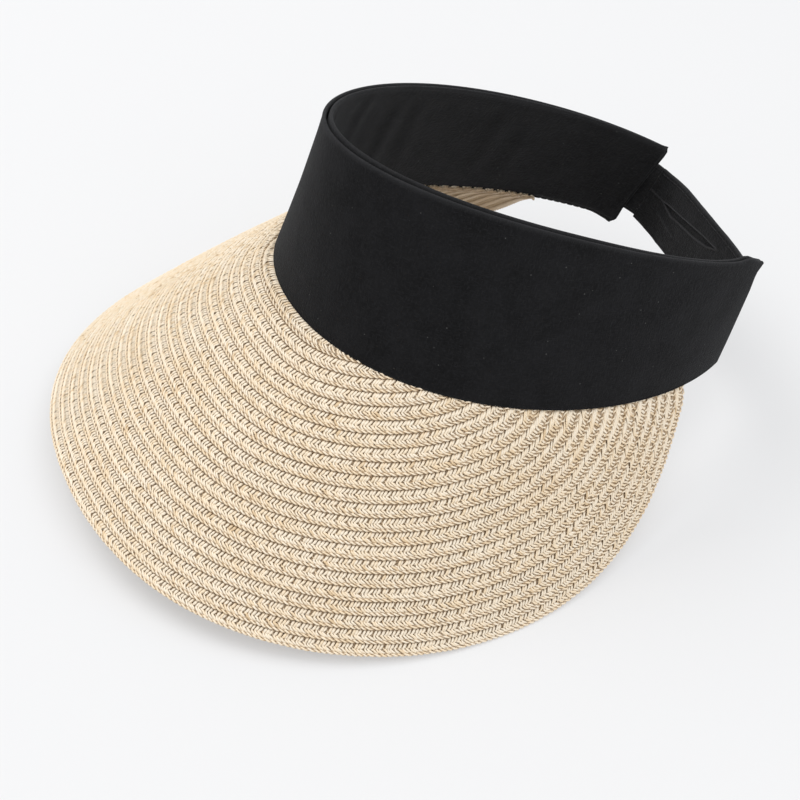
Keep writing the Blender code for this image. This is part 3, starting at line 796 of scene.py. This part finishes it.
def fold_depth(along, rise):
    """Inward depth of the lining's folds, each a groove with a low ridge beside it."""
    total = 0.0
    for (high_along, high_rise), (low_along, low_rise), depth in FOLDS:
        part = (rise - low_rise) / (high_rise - low_rise)
        line = low_along + (high_along - low_along) * part + 0.0012 * np.sin(3.0 * part)
        window = smoothstep(part / 0.35) * smoothstep((1.12 - part) / 0.35)
        beside = (along - line) / 0.0075
        total = total + (depth * MM * window * share((1.0 - rise) / 0.08)
                         * (gauss(beside) - 0.45 * gauss((beside - 1.9) / 1.2)))
    return total


def wall_cloth(name, node, columns, profile, material, thickness, lining=False, hem_worn=0.26):
    """A cloth of the band.  profile: (depth, share of height, offset in height) per row."""
    depth, rise, offset = np.array(profile).T[:, None]
    height = wall_height(columns)[:, None]
    rise = rise + offset / height
    along = np.broadcast_to(columns[:, None], rise.shape)
    x, y = along * WALL_LENGTH, rise * 0.06
    to_end = np.minimum(along, 1 - along)
    fade = share(to_end / 0.05)
    edge = share(np.minimum(rise, 1 - rise) / 0.15)
    # both layers wander together
    depth = depth + fade * edge * (0.00030 * smooth_noise2(x, y, 11, 0.034, 0.045)
                                   + 0.00006 * smooth_noise2(x + 0.4 * y, y, 12, 0.010, 0.03))
    if lining:
        depth = depth - 0.0009 * smoothstep((rise - 0.78) / 0.19) * smoothstep(to_end / 0.02)
        depth = depth - fold_depth(along, rise)
        depth = depth + 0.00010 * smooth_noise2(x, y, 21, 0.006, 0.02) * edge * fade
        rise = rise - (0.0009 / height * smoothstep((along - 0.78) / 0.14)
                       * smoothstep((rise - 0.93) / 0.07))
    else:
        depth = depth + 0.00005 * smooth_noise2(x, y, 22, 0.007, 0.012) * edge * fade
    # the layers are sewn together at the ends, and the lining is caught in along the lower edge
    pinch = smoothstep(1 - to_end * WALL_LENGTH / 0.0024)
    if lining:
        pinch = np.maximum(pinch, smoothstep(1 - rise * height / 0.0022))
    depth = BAND_MIDDLE + (depth - BAND_MIDDLE) * (1 - 0.74 * pinch)
    points = band(*shape_ends(along, rise), depth)
    coords = stack(along * WALL_LENGTH, rise * height, depth * 2)
    # painted sheen: the crest of the folded rim is painted paler, where the light catches it
    worn = gauss((rise - 1.0) * 60 / 0.9) * hem_worn
    order = slice(None, None, -1 if lining else 1)      # the lining faces inward
    cloth_sheet(name, points[order], thickness, coords[order], material, [node], "visor",
                worn[order])


def folded_rim(face_depth, hem_depth, top):
    """Half round between two depths, with its crest at top above the band's edge."""
    reach = (face_depth - hem_depth) / 2
    middle = (face_depth + hem_depth) / 2
    radius = abs(reach)
    return [(middle + reach * cos(turn), 1.0, top - radius + radius * sin(turn))
            for turn in np.linspace(0, pi, 9)]


def turned_hem(depth, start):
    return [(depth, 1.0, -z) for z in np.linspace(start, HEM, 6)]


COLUMNS = np.concatenate([np.linspace(0, 0.035, 34)[:-1], np.linspace(0.035, 0.93, 330),
                          np.linspace(0.93, 1, 60)[1:]])
FACE_RISE = np.concatenate([[0.0, 0.008, 0.018, 0.03, 0.045, 0.06],
                            np.linspace(0.085, 0.90, 34), [0.925, 0.95, 0.97]])
COVER_DEPTH = -CLOTH / 2
LINING_DEPTH = -BAND_THICKNESS + CLOTH / 2

wall_cloth("headband_cover", "band_outer_cover", COLUMNS,
           [(COVER_DEPTH, rise, -0.0012 * max(1 - rise / 0.03, 0)) for rise in FACE_RISE]
           + folded_rim(COVER_DEPTH + 0.0001, COVER_DEPTH - 0.0010, -0.0001)
           + turned_hem(COVER_DEPTH - 0.0010, 0.0012),
           MAT_COVER, CLOTH * 0.9)
wall_cloth("headband_lining", "band_lining", COLUMNS,
           [(LINING_DEPTH, rise, -0.0002 if rise == 0 else 0.0) for rise in FACE_RISE]
           + folded_rim(LINING_DEPTH - 0.0001, LINING_DEPTH + 0.00095, 0.0009)
           + turned_hem(LINING_DEPTH + 0.00095, 0.0014),
           MAT_LINING, CLOTH * 0.9, lining=True)

# ------------------------------------------------------------------ closure strap
STRAP_TOTAL = 2 * STRAP_PLY + 2 * STRAP_GAP + STRAP_CORE
HALF = STRAP_TOTAL / 2
ROOT_INNER_FACE = -BAND_THICKNESS - 0.0002 - STRAP_TOTAL
TIP_INNER_FACE = TAPE_CLEARANCE + LOOP_THICKNESS + 0.0003 + HOOK_THICKNESS + 0.00015
STRAP_MIDDLE = (STRAP_LOW + STRAP_HIGH) / 2
# the free span runs across the gap from the near end (+X) to the far end (-X)
SPAN_NEAR = on_wall(1.0, STRAP_MIDDLE, ROOT_INNER_FACE)
SPAN_FAR = on_wall(0.0, STRAP_MIDDLE, TIP_INNER_FACE)
LEVEL = np.array([1, 1, 0])
SPAN = (SPAN_FAR - SPAN_NEAR) * LEVEL
SPAN_OUT = np.array([SPAN[1], -SPAN[0], 0.0]) / np.linalg.norm(SPAN)


def span(part, z, depth):
    """Points of the bulging free span; its ends follow the slant of the band."""
    bend = (np.maximum(np.abs(2 * part - 1) - 0.5, 0) / 0.5) ** 2
    middle = (SPAN_NEAR + SPAN * part[:, None]
              + SPAN_OUT * (STRAP_BULGE * (1 - bend) + depth)[:, None])
    middle[:, 2] = z
    near = on_wall(1.0, z, ROOT_INNER_FACE) - SPAN_NEAR
    far = on_wall(0.0, z, TIP_INNER_FACE) - SPAN_FAR
    end = np.where((part < 0.5)[:, None], near, far) * LEVEL
    return middle + end * bend[:, None]


# keys along the strap: -1..0 sewn root, 0..1 free span, 1..2 tip; then rows every half millimetre
STEP = 0.0005
SPAN_PARTS = np.linspace(0.012, 0.988, 220)
LINE_KEYS = np.concatenate([np.linspace(-1, -0.0001, 40), SPAN_PARTS,
                            np.linspace(1.0001, 2, 70)])


def strap_points(z):
    return np.concatenate([
        on_wall(np.linspace(1 - ROOT_SHARE, 0.999, 40), z, ROOT_INNER_FACE + HALF),
        span(SPAN_PARTS, z, HALF),
        on_wall(np.linspace(0.001, TIP_SHARE, 70), z, TIP_INNER_FACE + HALF)])


STRAP_ARC = arc_length(strap_points(STRAP_MIDDLE))
KEY = np.interp(np.arange(0, STRAP_ARC[-1], STEP), STRAP_ARC, LINE_KEYS)


def strap_line(z):
    """One lengthwise line of the strap at height z, with its bends softened."""
    line = interp_points(KEY, LINE_KEYS, strap_points(z))
    kernel = gauss(np.arange(-8, 9) / 3.2)
    kernel /= kernel.sum()
    padded = np.concatenate([2 * line[:1] - line[8:0:-1], line, 2 * line[-1:] - line[-2:-10:-1]])
    return stack(*(np.convolve(padded[:, axis], kernel, "valid") for axis in range(3)))


LINE_LOW, LINE_HIGH = strap_line(STRAP_LOW), strap_line(STRAP_HIGH)
LINE_MIDDLE = (LINE_LOW + LINE_HIGH) / 2
LINE_OUT = unit(np.cross(np.gradient(LINE_MIDDLE, axis=0), LINE_HIGH - LINE_LOW))
# the strap's lower and upper edge: share of the span, height in mm
SPAN_KEY = share(KEY)
EDGE_LOW = np.interp(SPAN_KEY, (0, 0.60, 0.70, 0.775, 0.856, 0.925, 0.95, 1.0),
                     np.array((1.0, 1.0, 0.8, 0.4, 1.4, 2.9, 3.4, 4.2)) * MM)
EDGE_HIGH = np.interp(SPAN_KEY, (0, 0.15, 0.33, 0.52, 0.72, 0.875, 1.0),
                      np.array((33.6, 33.5, 33.2, 32.5, 31.7, 30.1, 29.8)) * MM)


def row_at(key):
    return int(np.argmin(np.abs(KEY - key)))


def strap_surface(rows, z, depth):
    """Points of the strap: rows (n), z and depth (n, m), outward from its middle."""
    part = ((z - STRAP_LOW) / (STRAP_HIGH - STRAP_LOW))[..., None]
    return (LINE_LOW[rows][:, None] * (1 - part) + LINE_HIGH[rows][:, None] * part
            + LINE_OUT[rows][:, None] * depth[..., None])


# lips and creases of the strap's inner face: share of the span, height in mm
UPPER_LIP = [(0.333, 25.75), (0.44, 24.6), (0.56, 22.8), (0.70, 20.4), (0.835, 18.6)]
LOWER_LIP = [(0.333, 25.5), (0.417, 21.7), (0.53, 19.2), (0.656, 17.5), (0.745, 16.0),
             (0.796, 16.9), (0.835, 18.4)]
UPPER_CREASE = [(0.83, 18.5), (0.898, 18.6), (0.96, 19.5)]
LOWER_CREASE = [(0.66, 10.6), (0.75, 11.0), (0.84, 12.6)]


def ridge(part, z, line, width):
    """A ridge along a line: its profile, its height on the strap and where it runs."""
    keys, heights = np.array(line).T
    centre = np.interp(part, keys, heights) * MM
    run = (smoothstep((part - keys[0] + 0.012) / 0.03)
           * smoothstep((keys[-1] + 0.012 - part) / 0.03))
    return gauss((z - centre) / width) * run, centre, run


def seam_relief(part, z):
    """Relief of the inner face and how much paler it is painted: the gaping slit between its two
    lips, and creases.
    """
    upper_lip, upper_z, upper_run = ridge(part, z, UPPER_LIP, width=0.26 * MM)
    lower_lip, lower_z, lower_run = ridge(part, z, LOWER_LIP, width=0.23 * MM)
    crease = ridge(part, z, UPPER_CREASE, width=0.40 * MM)[0]
    soft_crease = ridge(part, z, LOWER_CREASE, width=0.9 * MM)[0]
    slit = (smoothstep((upper_z - z) / (0.5 * MM)) * smoothstep((z - lower_z) / (0.5 * MM))
            * upper_run * lower_run)
    above = gauss((z - upper_z - 1.6 * MM) / (1.3 * MM)) * upper_run
    relief = (-0.42 * np.maximum(upper_lip, lower_lip) - 0.16 * crease - 0.18 * soft_crease
              + 0.38 * slit - 0.25 * above) * MM
    worn = share(0.9 * np.maximum(upper_lip, lower_lip * 0.8) + 0.35 * crease
                 + 0.15 * soft_crease)
    return relief, worn


def strap_cloth(prefix, first_key, last_key, low_edge, high_edge, nodes,
                shrink=0.0, relief=True, ply=0.00042):
    """Outer ply wrapped round both edges, inner ply between its lips, and the interlining.

    nodes: those of the outer ply, the inner ply and the interlining.
    """
    first, last = row_at(first_key), row_at(last_key)
    rows = np.arange(first, last + 1)
    low, high = low_edge[rows][:, None], high_edge[rows][:, None]
    x = rows[:, None] * STEP
    radius = HALF - 0.25 * MM - shrink
    lip_width = 1.4 * MM
    # the layers close up at both ends
    start_pinch = smoothstep(1 - (rows - first)[:, None] * STEP / 0.0020)
    end_pinch = smoothstep(1 - (last - rows)[:, None] * STEP / 0.0020)
    pinch = 1 - 0.72 * np.maximum(start_pinch, end_pinch * (0.15 if relief else 1.0))

    # outer ply: lower lip, lower turn, face, upper turn, upper lip
    turns = np.linspace(0, pi, 9)
    lips = radius + (lip_width - radius) * np.array([1, 0.66, 0.33])
    rounds = np.array([radius - radius * sin(turn) for turn in turns])
    depths = np.array([radius * cos(turn) for turn in turns])
    flat = np.full(3, -radius)
    z = np.hstack([low + lips, low + rounds,
                   low + radius + (high - low - 2 * radius) * np.linspace(0.04, 0.96, 34),
                   high - rounds, high - lips[::-1]])
    depth = np.concatenate([flat, -depths, np.full(34, radius), depths, flat]) + 0 * z
    puff = (0.00012 * smooth_noise2(x + 0 * z, z, 31, 0.009, 0.012)
            + 0.00005 * smooth_noise2(x + 0 * z, z, 32, 0.003, 0.004))
    points = strap_surface(rows, z, (depth + puff * (depth > 0)) * pinch)
    # the strap is painted paler along both edges
    worn = gauss(np.minimum(z - low, high - z) / (0.5 * MM)) * 0.22
    made = [cloth_sheet(prefix + "_outer_ply", points, ply, stack(x + 0 * z, z, depth),
                        MAT_STRAP, nodes[0], worn=worn)]

    # inner ply
    part = np.linspace(0, 1, 150 if relief else 40)[None]
    z = low + lip_width * 0.85 + (high - low - 1.7 * lip_width) * part
    depth = np.full_like(z, -radius + 0.05 * MM)
    worn = np.zeros_like(z)
    if relief:
        dent, worn = seam_relief(KEY[rows][:, None] + 0 * z, z)
        depth = depth + dent
    depth = depth + (0.00010 * smooth_noise2(x + 0 * z, z, 33, 0.008, 0.010)
                     + 0.00004 * smooth_noise2(x + 0 * z, z, 34, 0.002, 0.003))
    depth = depth + 0.42 * MM * gauss(np.minimum(part, 1 - part) * (high - low) / (0.5 * MM))
    points = strap_surface(rows, z, depth * pinch)
    coords = stack(x + 0.11 + 0 * z, z, depth)
    made.append(cloth_sheet(prefix + "_inner_ply", points[::-1], ply, coords[::-1],
                            MAT_STRAP, nodes[1], worn=worn[::-1]))

    # interlining
    z = (low + 1.9 * MM + (high - low - 3.8 * MM) * np.linspace(0, 1, 14)[None])[6:-6]
    points = strap_surface(rows[6:-6], z, 0 * z + 0.12 * MM)
    made.append(cloth_sheet(prefix + "_interlining", points, 0.00045,
                            stack(x[6:-6] + 0 * z, z, 0 * z), MAT_FELT, nodes[2]))
    for obj in made:
        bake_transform(obj)


def bend_point(key, ahead):
    row = int(np.clip(row_at(key) + ahead / STEP, 0, len(LINE_MIDDLE) - 1))
    return tuple(float(value) for value in place(LINE_MIDDLE[row]))


NEAR_BLEND = ("visor", "strap", bend_point(0.0, -0.0010), bend_point(0.0, 0.0095))
FAR_BLEND = ("strap", "strap_tip", bend_point(1.0, -0.0045), bend_point(1.0, 0.0060))
strap_cloth("strap", -1.0, 0.932, EDGE_LOW, EDGE_HIGH,
            [["closure_strap_root_" + layer, "closure_strap_" + layer]
             for layer in ("outer_ply", "inner_ply", "interlining")])
strap_cloth("strap_tab", 0.885, 2.0, np.full(len(KEY), TIP_LOW), np.full(len(KEY), TIP_HIGH),
            [["closure_strap_tip_" + layer] for layer in ("outer_ply", "inner_ply", "interlining")],
            shrink=TAB_SHRINK, relief=False, ply=0.00034)


# ------------------------------------------------------------------ hook and loop tapes
def hook_shape(rng, count, rise, height):
    """Sideways shifts and height of upright stems that curl over one way or the other."""
    side = np.where(rng.random(count) < 0.5, 1.0, -1.0)[:, None]
    bend = share((rise - 0.45) / 0.55) * pi * 1.15
    radius = height * 0.32
    lean = side * radius * (1 - np.cos(bend))
    stem = height - radius
    up = np.where(rise < 0.45, rise / 0.45 * stem, stem + radius * np.sin(bend))
    return lean * 0.85, lean * 0.3, up


def loop_shape(rng, count, rise, height):
    """The same for fuzzy arches in any direction."""
    turn = rng.uniform(0, 2 * pi, count)[:, None]
    size = height * rng.uniform(0.7, 1.25, count)[:, None]
    reach = size * 0.8 * (rise - 0.5) + 0.18 * size * np.sin(2 * pi * rise + turn)
    up = (size * np.sin(pi * np.clip(rise, 0.02, 0.98))
          * rng.uniform(0.6, 1.0, count)[:, None])
    return np.cos(turn) * reach, np.sin(turn) * reach, up


def tape_fur(name, along, heights, depth, side, shape, jitter, pitch, height, radius, seed):
    """A field of small bent filaments standing on a tape."""
    rng = np.random.default_rng(seed)
    columns = np.linspace(*along, int((along[1] - along[0]) * WALL_LENGTH / pitch))
    levels = np.linspace(*heights, int((heights[1] - heights[0]) / pitch))
    place_along, z = (grid.ravel() for grid in np.meshgrid(columns, levels, indexing="ij"))
    count = place_along.shape
    place_along = place_along + rng.uniform(-jitter, jitter, count) * pitch / WALL_LENGTH
    z = z + rng.uniform(-jitter, jitter, count) * pitch
    place_along, z = np.clip(place_along, *along), np.clip(z, *heights)
    shift, lift, up = shape(rng, count, np.linspace(0, 1, 9)[None], height)
    place_along = place_along[:, None] + shift / WALL_LENGTH
    z = z[:, None] + lift
    centres = on_wall(place_along, z, depth + side * up)
    # a nearly upright reference, never quite in line with a filament
    normal = unit(np.array([0.001, 0.001, 1.001]))
    verts, quads, caps = tubes(place(centres), normal, radius, radius, 4)
    coords = stack(place_along * WALL_LENGTH, z, up + 0 * z)
    return build(name, verts, quads, MAT_TAPE, [caps],
                 cloth=np.repeat(coords.reshape(-1, 3), 4, 0), worn=np.full(len(verts), 0.3))


def tape(name, node, body, along, heights, depth, thickness, side, **fur):
    """A tape on the band wall; side is 1 when its filaments point outward, -1 inward."""
    columns = np.linspace(*along, 60)[:, None] + np.zeros((1, 28))
    z = np.linspace(*heights, 28)[None] + np.zeros((60, 1))
    depths = depth + 0.00004 * smooth_noise2(columns * WALL_LENGTH, z, 51, 0.003, 0.003)
    sheet = cloth_sheet(name, on_wall(columns, z, depths), thickness,
                        stack(columns * WALL_LENGTH, z, depths), MAT_TAPE)
    furred = tape_fur(name + "_fur", (along[0] + 0.003, along[1] - 0.003),
                      (heights[0] + 0.0012, heights[1] - 0.0012),
                      depth + side * thickness * 0.4, side, **fur)
    bpy.ops.object.select_all(action="DESELECT")
    for obj in (sheet, furred):
        obj.select_set(True)
    bpy.context.view_layer.objects.active = sheet
    bpy.ops.object.join()
    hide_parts(node)
    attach(sheet, body)


tape("loop_tape_strip", "loop_tape", "visor", along=(0.008, TIP_SHARE + 0.03),
     heights=(TIP_LOW + 0.001, TIP_HIGH - 0.001), depth=TAPE_CLEARANCE + 0.00035,
     thickness=0.0006, side=1, shape=loop_shape, jitter=0.45, pitch=0.00085, height=0.00082,
     radius=0.000055, seed=71)
tape("hook_tape_strip", "hook_tape", "strap_tip", along=(0.012, TIP_SHARE - 0.006),
     heights=(TIP_LOW + 0.002, TIP_HIGH - 0.002), depth=TIP_INNER_FACE + 0.0001,
     thickness=0.00045, side=-1, shape=hook_shape, jitter=0.10, pitch=0.0013, height=0.00078,
     radius=0.00008, seed=72)

# ------------------------------------------------------------------ sewing
THREAD_RADIUS = 0.17 * MM
STITCH_SINK = 0.20 * MM
THREAD_LAY = 1.1 * MM


def stitches(name, node, points, outward, pitch=2.5 * MM):
    """Running stitches of two-ply thread along a path: each dips into the cloth at its ends."""
    arc = arc_length(points)
    count = max(int(arc[-1] / pitch), 1)
    part = np.linspace(0, 1, 13)[None]
    along = (np.arange(count)[:, None] + 0.06 + 0.88 * part) * arc[-1] / count
    centres = interp_points(along, arc, points)
    out = unit(interp_points(along, arc, outward))
    across = unit(np.cross(unit(np.gradient(centres, axis=1)), out))
    lift = THREAD_RADIUS * 0.9 - (STITCH_SINK + THREAD_RADIUS) * (2 * part - 1) ** 6
    centres = centres + out * lift[..., None]
    plies = []
    for phase in (0.0, pi):
        turn = (2 * pi * along / THREAD_LAY + phase)[..., None]
        ply = centres + (across * np.cos(turn) + out * np.sin(turn)) * THREAD_RADIUS * 0.45
        plies.append(tubes(place(ply), place_dir(out), THREAD_RADIUS * 0.62,
                           THREAD_RADIUS * 0.62, CORD_SIDES))
    (verts, quads, caps), (more_verts, more_quads, more_caps) = plies
    start = len(verts)
    circle = np.arange(6) * pi / 3
    coords = stack(np.repeat(along.ravel(), 6), np.tile(np.cos(circle), along.size),
                   np.tile(np.sin(circle), along.size))
    obj = build(name, np.concatenate([verts, more_verts]),
                np.concatenate([quads, more_quads + start]), MAT_THREAD,
                [caps, more_caps + start], cloth=np.concatenate([coords, coords]),
                worn=np.zeros(2 * start))
    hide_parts(node)
    return obj


def box_stitches(name, node, body, along, heights, depth, side=1):
    """A closed rectangle of stitches on the band wall; side -1 faces inward."""
    (start, end), (low, high) = along, heights
    columns = np.concatenate([np.linspace(start, end, 24), np.full(11, end),
                              np.linspace(end, start, 24)[1:], np.full(10, start)])
    z = np.concatenate([np.full(24, low), np.linspace(low, high, 12)[1:],
                        np.full(23, high), np.linspace(high, low, 12)[1:-1]])
    columns, z = np.append(columns, columns[0]), np.append(z, z[0])
    outward = side * band_normal(columns, z / wall_height(columns))
    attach(stitches(name, node, on_wall(columns, z, depth), outward), body)


box_stitches("strap_root_stitching", "strap_anchor_stitch", "visor",
             along=(1 - ROOT_SHARE + 0.006, 0.994),
             heights=(STRAP_LOW + 0.002, STRAP_HIGH - 0.002),
             depth=ROOT_INNER_FACE + 0.00008, side=-1)
box_stitches("hook_tape_stitching", "hook_tape_stitch", "strap_tip",
             along=(0.016, TIP_SHARE - 0.010), heights=(TIP_LOW + 0.0035, TIP_HIGH - 0.0035),
             depth=TIP_INNER_FACE + STRAP_TOTAL - TAB_SHRINK - 0.00006)
box_stitches("loop_tape_stitching", "loop_tape_stitch", "visor",
             along=(0.0096, TIP_SHARE + 0.0285), heights=(TIP_LOW + 0.0015, TIP_HIGH - 0.0015),
             depth=TAPE_CLEARANCE + 0.00065)


def strap_topstitching():
    """Along the strap's upper edge, on its inner face."""
    rows = np.arange(row_at(0.03), row_at(0.92))
    z = EDGE_HIGH[rows][:, None] - 1.75 * MM
    points = strap_surface(rows, z, 0 * z - (HALF - 0.06 * MM))[:, 0]
    obj = stitches("strap_topstitching", "strap_edge_stitch", points, -LINE_OUT[rows])
    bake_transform(obj)


def brim_seam_stitching():
    """Along the band's lower edge, facing down."""
    points = band(np.linspace(0.02, 0.98, 400), 0.0, BAND_MIDDLE) + np.array([0, 0, -0.00058])
    down = np.tile(np.array([0, 0, -1.0]), (400, 1))
    obj = stitches("brim_seam_stitching", "brim_seam_thread", points, down, pitch=3.0 * MM)
    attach(obj, "visor")


strap_topstitching()
brim_seam_stitching()

# the band's stiffener, between the two cloths and below their hems
wall_cloth("headband_interlining", "band_interlining", np.linspace(0.010, 0.990, 240),
           [(BAND_MIDDLE, rise, 0.0) for rise in np.linspace(0.07, 0.83, 20)],
           MAT_FELT, 0.0005, hem_worn=0.0)


# ------------------------------------------------------------------ stage
def floor_material():
    """A light table: part of its brightness is its own glow, so shadows stay pale."""
    mat = Shader("studio_floor")
    mottle = mat.noise(mat.position(), scale=2.0)
    return mat.finish(Base_Color=mat.mix(mottle, (0.440, 0.440, 0.444), (0.450, 0.450, 0.455)),
                      Roughness=0.9, Specular_IOR_Level=0.1,
                      Emission_Color=(0.985, 0.992, 1.0, 1.0), Emission_Strength=0.385)


bpy.ops.mesh.primitive_grid_add(x_subdivisions=8, y_subdivisions=8, size=8.0,
                                location=(0, 0, -0.0002))
floor = bpy.context.object
floor.name = "studio_floor"
floor.data.materials.append(floor_material())

world = bpy.data.worlds.new("studio")
bpy.context.scene.world = world
world.use_nodes = True
background = world.node_tree.nodes["Background"]
background.inputs["Color"].default_value = (0.965, 0.98, 1.0, 1)
background.inputs["Strength"].default_value = 0.765

# camera: aimed in the headband's frame, then leaned with it
CAMERA_AZIMUTH, CAMERA_ELEVATION, CAMERA_ROLL = 0.9359, 0.6368, 0.3387
CAMERA_DISTANCE = 0.65237
CAMERA_RIGHT, CAMERA_UP = -0.045816, -0.046653     # sideways shifts of the camera
FOCAL_LENGTH, SENSOR_WIDTH = 72.5985, 36.0         # millimetres


def make_camera():
    """Adds the camera; returns its right and backward directions."""
    back = np.array([sin(CAMERA_AZIMUTH) * cos(CAMERA_ELEVATION),
                     -cos(CAMERA_AZIMUTH) * cos(CAMERA_ELEVATION), sin(CAMERA_ELEVATION)])
    level = np.array([cos(CAMERA_AZIMUTH), sin(CAMERA_AZIMUTH), 0.0])
    upright = np.cross(back, level)
    right = cos(CAMERA_ROLL) * level + sin(CAMERA_ROLL) * upright
    up = -sin(CAMERA_ROLL) * level + cos(CAMERA_ROLL) * upright
    centre = back * CAMERA_DISTANCE + right * CAMERA_RIGHT + up * CAMERA_UP
    right, up, back = place_dir([right, up, back])
    data = bpy.data.cameras.new("camera")
    data.sensor_width = SENSOR_WIDTH
    data.lens = FOCAL_LENGTH
    data.clip_start = 0.02
    camera = bpy.data.objects.new("camera", data)
    bpy.context.scene.collection.objects.link(camera)
    camera.matrix_world = Matrix([*stack(right, up, back, place(centre)).tolist(), [0, 0, 0, 1]])
    bpy.context.scene.camera = camera
    return right, back


def floor_direction(vector):
    return np.array([vector[0], vector[1], 0.0]) / np.hypot(vector[0], vector[1])


camera_right, camera_back = make_camera()
SIDE, AWAY = floor_direction(camera_right), floor_direction(-camera_back)
LIGHT_TARGET = np.array([0, 0, 0.05])


def softbox(name, right, away, above, size, power, colour):
    """Round area light aimed at the visor; its place is given as the camera sees the floor."""
    data = bpy.data.lights.new(name, "AREA")
    data.shape = "DISK"
    data.size = size
    data.energy = power
    data.color = colour
    light = bpy.data.objects.new(name, data)
    bpy.context.scene.collection.objects.link(light)
    spot = Vector(LIGHT_TARGET + SIDE * right + AWAY * away + np.array([0, 0, above]))
    light.location = spot
    light.rotation_mode = "QUATERNION"
    light.rotation_quaternion = (Vector(LIGHT_TARGET) - spot).to_track_quat("-Z", "Y")


softbox("key_softbox", right=-0.9, away=0.5, above=1.5, size=1.3, power=12.8,
        colour=(1.0, 0.985, 0.96))
softbox("top_softbox", right=0.5, away=-0.5, above=1.7, size=1.6, power=9.3,
        colour=(1.0, 0.99, 0.98))
softbox("fill_softbox", right=0.7, away=-1.2, above=0.9, size=1.2, power=1.3,
        colour=(1.0, 0.99, 0.97))

bpy.context.scene.view_settings.view_transform = "Standard"

# ------------------------------------------------------------------ scene update
bpy.context.view_layer.update()
